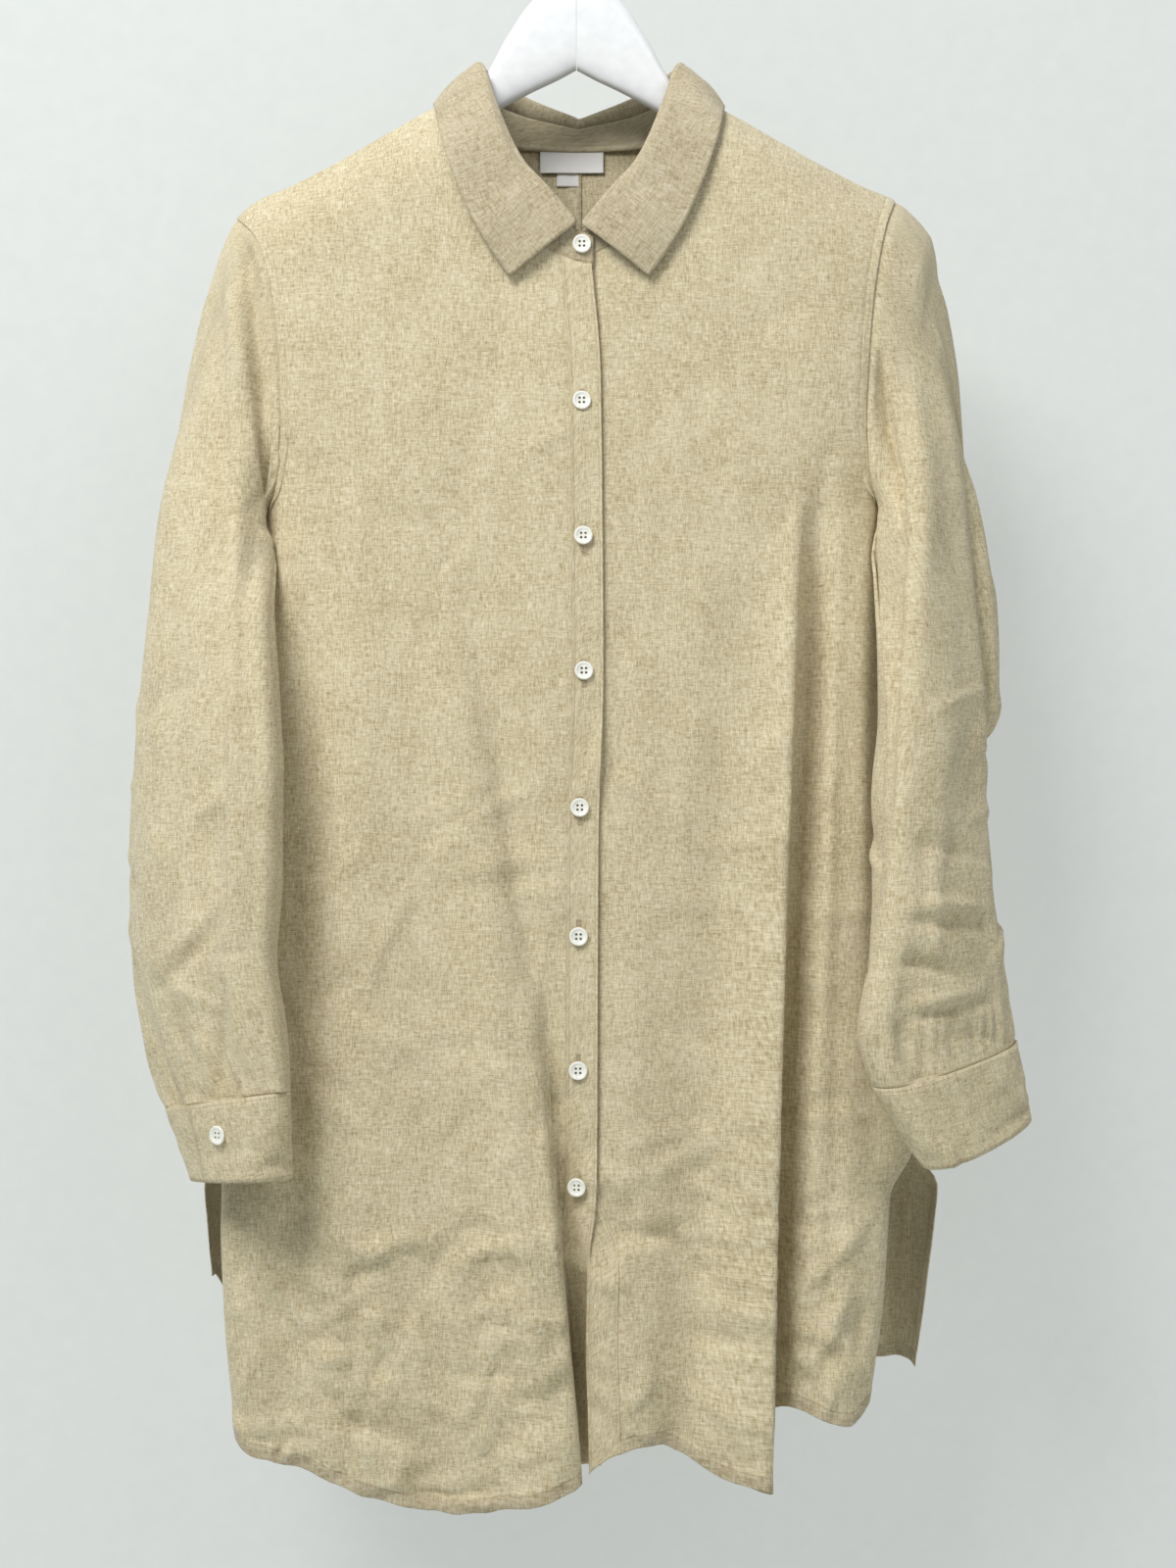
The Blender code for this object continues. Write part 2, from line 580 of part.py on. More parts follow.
def band_grid(layer, side, seam_line, edge_line):
    """A front band, row by row beside the panel it is sewn to. It runs from the seam to the free edge."""
    z = middle_heights("front", side, seam_line, FRONT_ROWS[FRONT_ROWS <= NECK_ROW + 1e-6])[:, None]
    across = np.linspace(0, 1, 3)[None, :]
    x = seam_line(z) + (edge_line(z) - seam_line(z)) * across
    ends_low = HEM["front_" + side]("height", x[0]) - z[0]
    out = x[-1] if side == "left" else -x[-1]  # how far out from the middle the top end lies
    ends_top = NECK["front"]("height", np.maximum(out, 0)) - 0.15 * np.maximum(-out, 0) - z[-1]
    up = np.linspace(0, 1, len(z))[:, None]
    z = z + ends_low * np.clip(1 - 4 * up, 0, 1) + ends_top * np.clip(20 * up - 19, 0, 1)
    return lap_point(x, z + 0 * x, layer)


def build_plackets():
    """The two bands: buttonholes on the wearer's right, over the buttons' band on the left."""
    right = band_grid("over", "right", lambda z: over_seam(z) + SEAM / 2, over_edge)
    left = band_grid("under", "left", lambda z: under_seam(z) - SEAM / 2, under_edge)
    wall("placket_right", right, CLOTH)
    wall("placket_left", left, CLOTH)


def build_backs():
    """Two halves of the back, sewn down the middle."""
    columns = stations((0, 0.3, 4), (0.3, 1, 6))
    for side, sign in (("right", -1.0), ("left", 1.0)):
        body_panel(
            "back_" + side, "back", side, lambda z, s=sign: s * SEAM / 2 + 0.0 * z,
            lambda x, z: body_point("back", x, z), columns, BACK_ROWS,
        )


def ring_frame(side, down):
    """Middle, half length and forward direction of a sleeve's section."""
    sign = -1.0 if side == "right" else 1.0
    edges = []
    for edge in ("out", "in"):
        x, y, z = (SLEEVE[side](edge + axis, down) for axis in ("_x", "_y", "_z"))
        edges.append(np.stack([sign * x, y, z], axis=-1))
    outer, inner = edges
    half = (outer - inner) / 2
    flat = unit(half * (1, 1, 0))
    forward = sign * np.stack([flat[..., 1], -flat[..., 0], 0 * flat[..., 0]], axis=-1)
    return (outer + inner) / 2, half, forward


def ring_point(side, down, turn, out=0.0):
    """A point round a sleeve or cuff, and the way out of the tube there. out moves it off the cloth."""
    middle, half, forward = ring_frame(side, down)
    c, s = np.cos(2 * np.pi * turn), np.sin(2 * np.pi * turn)
    stand = np.where(s > 0, SLEEVE[side]("front", down), SLEEVE[side]("back", down))
    along = np.sign(c) * np.abs(c) ** SLEEVE_SQUARE
    ahead = np.sign(s) * np.abs(s) ** SLEEVE_SQUARE * stand
    point = middle + half * along[..., None] + forward * ahead[..., None]
    length = np.linalg.norm(half, axis=-1)
    way = unit(unit(half) * (c / length)[..., None] + forward * (s / stand)[..., None])
    return point + way * np.asarray(out)[..., None], way


def sleeve_fold(side, down, turn):
    """How far the folds of a sleeve stand out. down runs from -1 at the armhole."""
    names = SLEEVE_FOLD_COLUMNS.split()
    out = np.zeros(np.broadcast(down, turn).shape)
    for row in SLEEVE_FOLDS[side]:
        fold = dict(zip(names, row))
        share = np.clip((down - fold["top"]) / (fold["low"] - fold["top"]), 0, 1)
        ending = np.clip((fold["low"] + 0.25 - down) / 0.25, 0, 1)
        fade = np.clip(share / 0.2, 0, 1) * ending
        centre = fold["at_top"] + (fold["at_low"] - fold["at_top"]) * share
        away = (turn - centre + 0.5) % 1 - 0.5
        stand = fold["out_top"] + (fold["out_low"] - fold["out_top"]) * share
        out = out + bell(away / fold["reach"]) * fade * stand
    return out


def armhole_loop(side, turns):
    """The armhole in turns: from the shoulder down the front to the underarm, and up the back."""
    points, ways = [], []
    for turn in turns % 1:
        face, along = ("front", 1 - 2 * turn) if turn <= 0.5 else ("back", 2 * turn - 1)
        x, z = armhole(side, face, np.array([max(along - 0.02, 0), along, min(along + 0.02, 1)]))
        slope = unit(np.array([z[2] - z[0], x[0] - x[2]])) * 0.004
        out = slope if slope[0] * x[1] > 0 else -slope
        here = body_point(face, x[1], z[1])
        if along in (0, 1):
            here[1] = 0.0
        points.append(here)
        ways.append(unit(body_point(face, x[1] + out[0], z[1] + out[1]) - here))
    return np.array(points), np.array(ways)


def sleeve_grid(side, head, downs, turns):
    """Rows from the armhole to the level of the underarm, then rings down to the cuff."""
    sign = -1.0 if side == "right" else 1.0
    start, panel_way = armhole_loop(side, turns)
    low = bell(2 * (turns - 0.5))[:, None]  # 0 at the shoulder, 1 at the underarm
    hang = CAP_FALL[side]
    fall = (1 - low) * (sign * hang[0], 0, hang[1]) + low * (sign * 0.80, 0, -0.50)
    fall[:, 1] -= 0.45 * np.sin(2 * np.pi * turns) * low[:, 0]
    way = unit(0.35 * panel_way + unit(fall))
    start = start + way * SEAM * (0.05 + 1.6 * low) + panel_way * CLOTH * 0.6
    first, normal = ring_point(side, np.zeros_like(turns), turns)
    later, _ = ring_point(side, np.full_like(turns, 0.08), turns)
    down_way = unit(later - first)
    length = np.linalg.norm(first - start, axis=-1, keepdims=True)
    rows = []
    for h in head:
        row = (
            start * (1 - h) ** 2 * (1 + 2 * h) + first * h**2 * (3 - 2 * h)
            + h * (1 - h) * length * (way * (1 - h) - down_way * h)
        )
        row = row + normal * sleeve_fold(side, np.full_like(turns, h - 1), turns)[:, None]
        rows.append(row if h == 0 else off_body(row, side, REST))
    for down in downs:
        place = np.full_like(turns, down)
        row = ring_point(side, place, turns, sleeve_fold(side, place, turns))[0]
        rows.append(off_body(row, side, REST))
    return np.array(rows)


def build_sleeves():
    for side in ("right", "left"):
        turns = stations((0, 0.08, 3), (0.08, 0.92, 14), (0.92, 1, 3))[:-1]
        head, downs = np.linspace(0, 1, 8)[:-1], np.linspace(0, 0.999, 11)
        wall("sleeve_" + side, sleeve_grid(side, head, downs, turns), CLOTH, ring=True)


def cuff_point(side, down, lap):
    """A point of a cuff, lap being turns from its upper end. The upper end stands off the lower one."""
    rise = CUFF_STEP * np.clip(1 - lap / 0.30, 0, 1) ** 0.7
    return ring_point(side, down, (CUFF_LAP[side] + lap) % 1, rise)[0]


def build_cuffs():
    for side in ("right", "left"):
        down, lap = np.meshgrid(np.linspace(1.0095, 2, 4), np.linspace(0, 1 + CUFF_OVERLAP, 27), indexing="ij")
        wall("cuff_" + side, off_body(cuff_point(side, down, lap), side, REST), BAND)


def collar_lines(half):
    """Neck seam, fold, rim and the stand's share, from the wearer's right front round to the left."""
    parts = []
    for sign, layer, order in ((-1.0, "over", 1), (1.0, "under", -1)):
        read = {name: COLLAR(name, half) for name in COLLAR.names[1:]}
        front = half <= 5
        neck_x, rim_x = sign * read["neck_x"], sign * read["rim_x"] + COLLAR_MIDDLE
        neck, rim = np.empty((len(half), 3)), np.empty((len(half), 3))
        for face, mine in (("front", front), ("back", ~front)):
            neck[mine] = body_point(face, neck_x, NECK[face]("height", np.abs(neck_x)))[mine]
            rim[mine] = body_point(face, rim_x, read["rim_z"], FALL_CLEAR)[mine]
        fold = np.stack([sign * read["fold_x"] + COLLAR_MIDDLE, read["fold_y"], read["fold_z"]], axis=-1)
        for line, x in ((neck, neck_x), (fold, fold[:, 0]), (rim, rim_x)):
            line[:, 1] += np.where(front, lap_offset(x, line[:, 2], layer), 0)
        parts.append([line[::order] for line in (neck, fold, rim, read["share"][:, None])])
    joined = [np.concatenate([a, b[1:]]) for a, b in zip(*parts)]
    middle = len(half) - 1
    for line in joined[:3]:
        line[middle, 0] = COLLAR_MIDDLE / 2
    return joined


def off_shirt(points, space):
    """Moves points of the fall that are nearer to the shirt than this forwards, or back behind the neck."""
    for face, sign in (("front", -1.0), ("back", 1.0)):
        cloth = body_point(face, points[..., 0], points[..., 2])[..., 1] * sign
        mine = (points[..., 1] * sign > 0) & (cloth > 0.004)
        near = mine & (points[..., 1] * sign < cloth + space)
        points[..., 1] = np.where(near, sign * (cloth + space), points[..., 1])
    return points


def build_collar():
    """The stand round the neck, and the fall that turns over it."""
    half = stations((0, 5, 10), (5, 6, 3), (6, 8, 3))
    neck, fold, rim, share = collar_lines(half)
    up = unit(fold - neck)
    foot, head = neck + up * (SEAM + CLOTH / 2), neck + (fold - neck) * (share - 0.035)
    ends = np.linspace(0, 1, 3)[1:, None] * STAND_LAP
    over_foot, over_head = foot[0] + ends * (1, 0, -0.15), head[0] + ends * (1, 0, -0.45)
    under_foot, under_head = foot[-1] + ends * (-1, 0, -0.10), head[-1] + ends * (-1, 0, -0.45)
    foot = np.concatenate([over_foot[::-1], foot, under_foot])
    head = np.concatenate([over_head[::-1], head, under_head])
    wall("collar_stand", np.linspace(foot, head, 3), BAND)

    around = np.gradient(fold, axis=0)
    out = unit(np.cross(up, unit(around)))
    top = fold - up * ROLL
    rows = [neck + (fold - neck) * share]
    for angle in np.radians([0, 45, 90, 135, 180]):
        rows.append(top + out * ROLL * (1 - math.cos(angle)) + up * ROLL * math.sin(angle))
    low = rows[-1]
    for s in (0.3, 0.65, 1.0):
        rows.append(off_shirt(low + (rim - low) * s + out * FALL_BOW * math.sin(math.pi * s), FALL_CLEAR))
    wall("collar_fall", np.array(rows), BAND)


def turned_mesh(name, profile, radius, sides):
    """A mesh turned about Z from (share of radius, height) pairs that start and end on the axis."""
    shape = bmesh.new()
    points = [shape.verts.new((share * radius, 0, height)) for share, height in profile]
    edges = [shape.edges.new(pair) for pair in zip(points, points[1:])]
    bmesh.ops.spin(
        shape, geom=points + edges, axis=(0, 0, 1), cent=(0, 0, 0),
        angle=2 * math.pi, steps=sides, use_merge=True,
    )
    bmesh.ops.remove_doubles(shape, verts=shape.verts, dist=1e-6)
    bmesh.ops.recalc_face_normals(shape, faces=shape.faces)
    mesh = bpy.data.meshes.new(name)
    shape.to_mesh(mesh)
    shape.free()
    return mesh


def seat_button(name, mesh, here, across, above, thick):
    """Puts a button flat on cloth of a thickness, given a point of it and ones beside it and above."""
    here = Vector(here)
    normal = (Vector(across) - here).cross(Vector(above) - here).normalized()
    thing = add_object(name, mesh.copy(), SHELL)
    thing.rotation_mode = "QUATERNION"
    thing.rotation_quaternion = normal.to_track_quat("Z", "Y")
    thing.location = here + normal * (thick / 2 + BUTTON_SEAT)


def build_buttons():
    mesh = turned_mesh("button", BUTTON_PROFILE, BUTTON_RADIUS, 10)
    step = 0.004
    for number, z in enumerate(BUTTON_HEIGHTS, start=2):
        x = float(over_edge(z)) - BUTTON_INSET
        points = (lap_point(x + dx, z + dz, "over") for dx, dz in ((0, 0), (step, 0), (0, step)))
        seat_button(f"button_{number}", mesh, *points, CLOTH)
    here = np.array((STAND_BUTTON[0], fold_front_y(), STAND_BUTTON[1]))
    seat_button("button_1", mesh, here, here + (step, 0, 0), here + (0, 0, step), BAND)
    for side in ("right", "left"):
        places = ((1.30, 0.055), (1.30, 0.075), (1.20, 0.055))
        here, across, above = (cuff_point(side, np.array(down), np.array(lap)) for down, lap in places)
        if side == "left":
            across = 2 * here - across
        seat_button(f"cuff_button_{side}", mesh, here, across, above, BAND)


def fold_front_y():
    """How far forward the stand's overlapping end lies."""
    start = float(COLLAR("fold_y", 0))
    neck = lap_point(0.0, float(NECK["front"]("height", 0)), "over")[1]
    return min(neck, start + float(LAP("over_back", -0.23)))


def build_labels():
    """Two blank woven labels inside the back of the neck."""
    for name, left, right, top, bottom, off in LABELS:
        x, z = np.meshgrid(np.linspace(left, right, 5), np.linspace(top, bottom, 3))
        wall(name, body_point("back", x, z, -off), LABEL_WALL, LABEL)


def arm_mesh(name, sign):
    """One arm of the hanger: rounded sections from the joint in the middle to the tip."""
    shape = bmesh.new()
    rings = []
    for x in stations(*HANGER_RUNS):
        top, bottom, half = (float(HANGER(column, x)) for column in ("top", "bottom", "half"))
        centre, tall = (top + bottom) / 2, (top - bottom) / 2
        corner = min(half, tall) * 0.999
        ring = []
        for turn in (np.arange(12) + 0.5) / 12 * 2 * math.pi:
            y = math.copysign(half - corner, math.cos(turn)) + corner * math.cos(turn)
            z = centre + math.copysign(tall - corner, math.sin(turn)) + corner * math.sin(turn)
            ring.append(shape.verts.new((sign * x, y, z)))
        rings.append(ring)
    for a, b in zip(rings, rings[1:]):
        for j, k in zip(range(12), (*range(1, 12), 0)):
            shape.faces.new((a[j], a[k], b[k], b[j]))
    shape.faces.new(rings[0])
    shape.faces.new(rings[-1])
    bmesh.ops.recalc_face_normals(shape, faces=shape.faces)
    mesh = bpy.data.meshes.new(name)
    shape.to_mesh(mesh)
    shape.free()
    return mesh


def build_hanger():
    """Two arms that meet in the middle, and a wire hook."""
    for side, sign in (("right", -1.0), ("left", 1.0)):
        name = "hanger_arm_" + side
        add_object(name, arm_mesh(name, sign), LACQUER)

    bow = HOOK_BOW + HOOK_WIRE
    path = [(0.0, HOOK_FOOT), (0.0, -HOOK_BOW - bow - 0.002)]
    bends = [math.radians(angle) for angle in range(-70, 211, 20)]
    path += [(bow * math.cos(bend), -HOOK_BOW + bow * math.sin(bend)) for bend in bends]
    curve = bpy.data.curves.new("hook", "CURVE")
    curve.dimensions = "3D"
    curve.bevel_depth = HOOK_WIRE
    curve.bevel_resolution = 1
    curve.use_fill_caps = True
    line = curve.splines.new("POLY")
    line.points.add(len(path) - 1)
    for point, (x, z) in zip(line.points, path):
        point.co = (x, 0.0, z, 1.0)
    curve.materials.append(material(STEEL))
    bpy.context.scene.collection.objects.link(bpy.data.objects.new("hook", curve))


clear_scene()
build_fronts()
build_plackets()
build_backs()
build_sleeves()
build_cuffs()
build_collar()
build_buttons()
build_labels()
build_hanger()
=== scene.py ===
import math

import bmesh
import bpy
import numpy as np
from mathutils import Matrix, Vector, noise


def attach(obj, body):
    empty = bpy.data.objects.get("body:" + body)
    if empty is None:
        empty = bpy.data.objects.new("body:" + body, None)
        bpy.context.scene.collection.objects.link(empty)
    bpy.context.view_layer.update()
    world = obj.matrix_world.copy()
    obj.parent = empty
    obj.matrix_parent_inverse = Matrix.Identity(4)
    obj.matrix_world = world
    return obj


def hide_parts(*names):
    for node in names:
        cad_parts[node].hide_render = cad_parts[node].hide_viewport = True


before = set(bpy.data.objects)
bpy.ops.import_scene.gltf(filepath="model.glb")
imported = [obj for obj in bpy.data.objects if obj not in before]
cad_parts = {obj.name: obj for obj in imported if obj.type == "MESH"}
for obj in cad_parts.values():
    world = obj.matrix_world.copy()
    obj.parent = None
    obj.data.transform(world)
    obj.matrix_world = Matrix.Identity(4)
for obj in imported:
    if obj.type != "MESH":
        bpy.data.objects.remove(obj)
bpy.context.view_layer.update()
print("frame is in")

# Sizes shared by the whole tunic, in metres
cut = {
    "cloth": .0007, "doubled": .0011, "seam": .0003, "square": 4.0, "ridgeDrop": .060,
    "ventTop": -.775, "ventSpread": .014, "placket": .019, "lapFade": .055,
    "underarm": {"right": -.385, "left": -.380}, "underarmRow": .62, "neckRow": .80, "hemLevel": -.96,
    "backArmholeOut": .006, "rest": .0035,
    "neckLow": -.235,  # where the front edges meet the neck
    "restBelow": -.30,  # below this height the sleeves keep clear of the body
    "tubeSquare": .8,  # section of a sleeve, 1 for an ellipse and less for a squarer one
    "girthDepth": .22, "ridgeGirth": .02,  # what the body's depth and the shoulder add to the cloth's way
}

# The tunic's block, right and left as worn. Heights run up from the hem to the shoulders.
body = {
    "height": (-1.01, -.93, -.87, -.805, -.775, -.65, -.5, -.385, -.28, -.2, -.12),
    "frontRight": (.204, .211, .216, .218, .218, .208, .198, .192, .214, .23, .235),
    "backRight": (.218, .224, .229, .2335, .218, .208, .198, .192, .214, .23, .235),
    "frontLeft": (.172, .18, .188, .193, .208, .195, .187, .187, .21, .226, .235),
    "backLeft": (.206, .212, .22, .2265, .208, .195, .187, .187, .21, .226, .235),
    "frontDepth": (.051, .051, .051, .051, .051, .049, .046, .043, .04, .038, .036),
    "backDepth": (.054, .054, .053, .051, .05, .046, .043, .042, .042, .041, .04),
}
shoulder = {
    "across": (0, .06, .0895, .125, .15, .178, .2, .212, .235),
    "height": (-.095, -.118, -.1315, -.151, -.165, -.179, -.1888, -.1992, -.222),
}
lap = {
    "height": (-1.01, -.926, -.89, -.86, -.836, -.812, -.79, -.585, -.486, -.307, -.23),
    "overEdge": (.0150, .0150, .0142, .0128, .0085, .0114, .0126, .0136, .0165, .015, .0094),
    "underEdge": (.0092, .0074, .0062, .0066, .0070, -.001, -.0064, -.006, -.004, -.005, -.0085),
    "overBack": (.014, .013, .011, .007, -.0012, -.0024, -.0024, -.0024, -.0024, -.0024, -.0024),
    "underBack": (-.008, -.0075, -.006, -.0035, -.0004, .0004, 0, 0, 0, 0, 0),
}
collar = {
    "station": (0, 1, 2, 3, 4, 5, 6, 7, 8),
    "neckX": (0, .034, .052, .066, .073, .0755, .064, .04, 0),
    "foldX": (.002, .0185, .0345, .0465, .055, .0595, .05, .032, 0),
    "foldY": (-.0385, -.037, -.033, -.025, -.014, .002, .027, .043, .049),
    "foldZ": (-.21, -.19, -.172, -.148, -.123, -.104, -.105, -.112, -.123),
    "rimX": (.0425, .053, .0665, .0775, .086, .0905, .08, .05, 0),
    "rimZ": (-.244, -.229, -.206, -.179, -.152, -.129, -.143, -.16, -.168),
    "share": (.82, .78, .72, .66, .62, .6, .6, .62, .64),
}
hanger = {
    "across": (0, .012, .0265, .044, .0545, .066, .0895, .124, .158, .188, .197),
    "top": (-.05, -.052, -.0622, -.087, -.1064, -.123, -.136, -.1555, -.174, -.1892, -.1975),
    "bottom": (-.1063, -.1127, -.1195, -.1288, -.1352, -.1416, -.155, -.176, -.194, -.2085, -.2075),
    "half": (.007, .007, .007, .007, .007, .007, .0075, .009, .01, .0105, .007),
}
armhole = {
    "right": {
        "along": (0, .15, .35, .55, .75, .9, 1),
        "across": (.192, .185, .1805, .182, .187, .1965, .212),
        "height": (-.385, -.366, -.33, -.285, -.245, -.217, -.2),
    },
    "left": {
        "along": (0, .15, .35, .55, .75, .9, 1),
        "across": (.187, .1805, .1772, .179, .183, .1895, .1985),
        "height": (-.38, -.362, -.33, -.288, -.245, -.212, -.188),
    },
}
neck = {
    "front": {
        "across": (0, .015, .034, .052, .066, .073, .0755),
        "height": (-.2345, -.2275, -.212, -.192, -.168, -.146, -.1248),
    },
    "back": {
        "across": (0, .03, .05, .066, .0755),
        "height": (-.1456, -.1448, -.142, -.135, -.1248),
    },
}
hem = {
    "frontRight": {
        "across": (-.208, -.192, -.149, -.103, -.068, -.039, -.016, -.005, .012),
        "height": (-.948, -.958, -.969, -.987, -.993, -.989, -.978, -.971, -.967),
    },
    "frontLeft": {
        "across": (.006, .013, .024, .043, .06, .078, .096, .11, .126, .142, .16, .169, .18),
        "height": (-.971, -.963, -.955, -.951, -.956, -.97, -.977, -.954, -.929, -.935, -.94, -.936, -.925),
    },
    "backRight": {
        "across": (-.229, -.205, -.12, 0),
        "height": (-.861, -.905, -.955, -.972),
    },
    "backLeft": {
        "across": (0, .13, .19, .212),
        "height": (-.972, -.948, -.92, -.9185),
    },
}
sleeve = {
    "right": {
        "down": (0, .12, .27, .44, .62, .76, .9, 1, 2),
        "outX": (.2545, .2575, .2635, .268, .269, .2668, .259, .2455, .228),
        "outY": (.006, .004, 0, -.004, -.008, -.012, -.018, -.026, -.034),
        "outZ": (-.4, -.439, -.49, -.55, -.613, -.665, -.712, -.75, -.792),
        "inX": (.187, .1878, .1836, .18, .18, .183, .176, .173, .173),
        "inY": (-.048, -.06, -.074, -.082, -.086, -.088, -.09, -.09, -.088),
        "inZ": (-.402, -.441, -.492, -.548, -.606, -.652, -.697, -.733, -.785),
        "front": (.025, .025, .025, .0265, .027, .026, .0245, .0215, .0205),
        "back": (.02, .022, .024, .025, .0255, .025, .023, .02, .019),
    },
    "left": {
        "down": (0, .15, .32, .5, .66, .8, .92, 1, 2),
        "outX": (.2545, .2595, .257, .243, .248, .254, .259, .2625, .27),
        "outY": (.016, .014, .006, -.008, -.02, -.028, -.034, -.038, -.038),
        "outZ": (-.4, -.449, -.504, -.56, -.604, -.644, -.685, -.707, -.754),
        "inX": (.181, .183, .1855, .183, .179, .1725, .166, .1775, .209),
        "inY": (-.048, -.058, -.07, -.08, -.086, -.092, -.094, -.092, -.084),
        "inZ": (-.402, -.449, -.506, -.564, -.61, -.652, -.697, -.73, -.779),
        "front": (.024, .025, .026, .0265, .0265, .0255, .024, .021, .0195),
        "back": (.02, .022, .024, .025, .025, .024, .0225, .02, .019),
    },
}
folds = {
    "front": (
        ("bandRidge", -.44, -.98, -.09, -.046, -.023, .03, .024, .001, .021, .011),
        ("bandValley", -.48, -.98, -.052, -.018, .006, .02, .018, -.001, -.005, 0),
        ("sleeveValley", -.43, -.8, -.17, -.164, -.17, .018, .024, -.003, -.006, 0),
        ("sideRidge", -.42, -.98, -.132, -.14, -.15, .04, .036, .003, .006, 0),
        ("middleValley", -.62, -1, -.098, -.086, -.09, .026, .024, 0, -.005, 0),
        ("chestValley", -.36, -.98, .108, .08, .066, .024, .026, -.001, -.007, 0),
        ("mainRidge", -.39, -.99, .130, .108, .087, .018, .022, .004, .012, .011),
        ("stepEdge", -.36, -.99, .1370, .1110, .0910, .010, .012, .004, .008, .016),
        ("mainValley", -.36, -.99, .150, .132, .113, .015, .02, -.012, -.033, -.01),
        ("sideRoll", -.41, -.97, .168, .162, .156, .018, .022, .002, .006, 0),
        ("lapRoll", -.45, -.98, .04, .038, .036, .022, .026, 0, .006, 0),
        ("bandEdge", -.64, -.98, -.0340, -.0205, -.0085, .012, .013, .001, .005, .009),
    ),
    "back": (
        ("rightRidge", -.36, -.96, -.11, -.124, -.14, .036, .044, .001, .012, 0),
        ("rightValley", -.36, -.97, -.062, -.07, -.082, .026, .034, -.001, -.012, 0),
        ("middleRidge", -.3, -.98, 0, -.006, -.01, .034, .044, .002, .012, 0),
        ("leftValley", -.36, -.97, .056, .062, .07, .026, .034, -.001, -.013, 0),
        ("leftRidge", -.36, -.95, .106, .12, .134, .036, .04, .001, .012, 0),
    ),
}
sleeveFolds = {
    "right": (
        ("hangingRidge", -1, .6, .14, .22, .11, .007, .003),
        ("armholeValley", -.9, .3, .36, .42, .09, -.014, -.002),
        ("innerEdge", -.3, .9, .485, .49, .045, .003, .003),
        ("elbowValley", .3, 1, .34, .31, .07, -.001, -.006),
        ("pleatValley", .72, 1, .14, .17, .06, -.001, -.007),
        ("backValley", -.6, .95, .72, .78, .1, -.006, -.004),
    ),
    "left": (
        ("hangingRidge", -.8, .55, .28, .34, .1, .006, .003),
        ("armholeValley", -.9, .25, .4, .44, .08, -.008, -.002),
        ("capHollow", -.85, -.15, 0, 0, .2, -.014, -.01),
        ("outerCrease", -.6, .6, .08, .12, .07, -.003, -.005),
        ("frontEdge", -.55, .55, .375, .460, .070, .002, .003),
        ("innerHollow", -.1, .75, .56, .58, .11, -.004, -.012),
        ("pleatValley", .76, 1, .36, .34, .06, -.001, -.005),
        ("backValley", -.6, .95, .72, .78, .1, -.006, -.004),
    ),
}


def eased(places, values, wanted):
    places, values = np.asarray(places, float), np.asarray(values, float)
    steps = np.diff(places)
    rises = np.diff(values) / steps
    slopes = np.concatenate([rises[:1], np.zeros(len(rises) - 1), rises[-1:]])
    turning = rises[:-1] * rises[1:]
    mean = 2 * turning / np.where(turning > 0, rises[:-1] + rises[1:], 1.0)
    slopes[1:-1] = np.where(turning > 0, mean, 0.0)
    wanted = np.clip(wanted, places[0], places[-1])
    i = np.clip(np.searchsorted(places, wanted) - 1, 0, len(steps) - 1)
    t = (wanted - places[i]) / steps[i]
    return (values[i] * (1 - t) ** 2 * (1 + 2 * t) + values[i + 1] * t**2 * (3 - 2 * t)
            + steps[i] * t * (1 - t) * (slopes[i] * (1 - t) - slopes[i + 1] * t))


def read(table, column, where):
    return eased(next(iter(table.values())), table[column], where)


def runs(*parts):
    return np.concatenate([*(np.linspace(a, b, n, endpoint=False) for a, b, n in parts), [parts[-1][1]]])


def bell(distance):
    return .5 * (1 + np.cos(np.pi * np.clip(distance, -1, 1)))


def unit(way):
    return way / np.maximum(np.linalg.norm(way, axis=-1, keepdims=True), 1e-12)


def smooth(value, low, high):
    t = np.clip((value - low) / (high - low), 0, 1)
    return t * t * (3 - 2 * t)


def foldShift(face, x, z):
    across, outwards = np.zeros_like(x), np.zeros_like(x)
    for name, top, low, atTop, atMiddle, atLow, reachTop, reachLow, outTop, outLow, lean in folds[face]:
        share = np.clip((top - z) / (top - low), 0, 1)
        bend, turn = 4 * atMiddle - 3 * atTop - atLow, 2 * (atTop + atLow - 2 * atMiddle)
        centre = atTop + bend * share + turn * share**2
        shape = bell((x - centre) / (reachTop + (reachLow - reachTop) * share)) * np.clip(share / .12, 0, 1)
        outwards += shape * (outTop + (outLow - outTop) * share)
        across += shape * lean * share
    return across, outwards


def halfWidth(face, x, z):
    return np.where(x < 0, read(body, face + "Right", z), read(body, face + "Left", z))


def sideDepth(across, z):
    return cut["seam"] / 2 + cut["ventSpread"] * np.clip((cut["ventTop"] - z) / .05, 0, 1) * across**6


def bodyPoint(face, x, z, out=0.0):
    x, z = np.asarray(x, float), np.asarray(z, float)
    across = np.clip(np.abs(x) / halfWidth(face, x, z), 0, 1)
    drop = np.clip((read(shoulder, "height", np.abs(x)) - z) / cut["ridgeDrop"], 0, 1)
    n = cut["square"]
    rounding = (1 - across**n) ** (1 / n) * np.sqrt(1 - (1 - drop) ** 2)
    shift, fold = foldShift(face, x, z)
    depth = sideDepth(across, z) + read(body, face + "Depth", z) * rounding + fold + out
    return np.stack([x + shift, (-1 if face == "front" else 1) * depth, z], axis=-1)


def lapOffset(x, z, layer):
    return read(lap, layer + "Back", z) * bell(x / cut["lapFade"])


def lapPoint(x, z, layer, out=0.0):
    point = bodyPoint("front", x, z, out)
    point[..., 1] += lapOffset(np.asarray(x, float), z, layer)
    return point


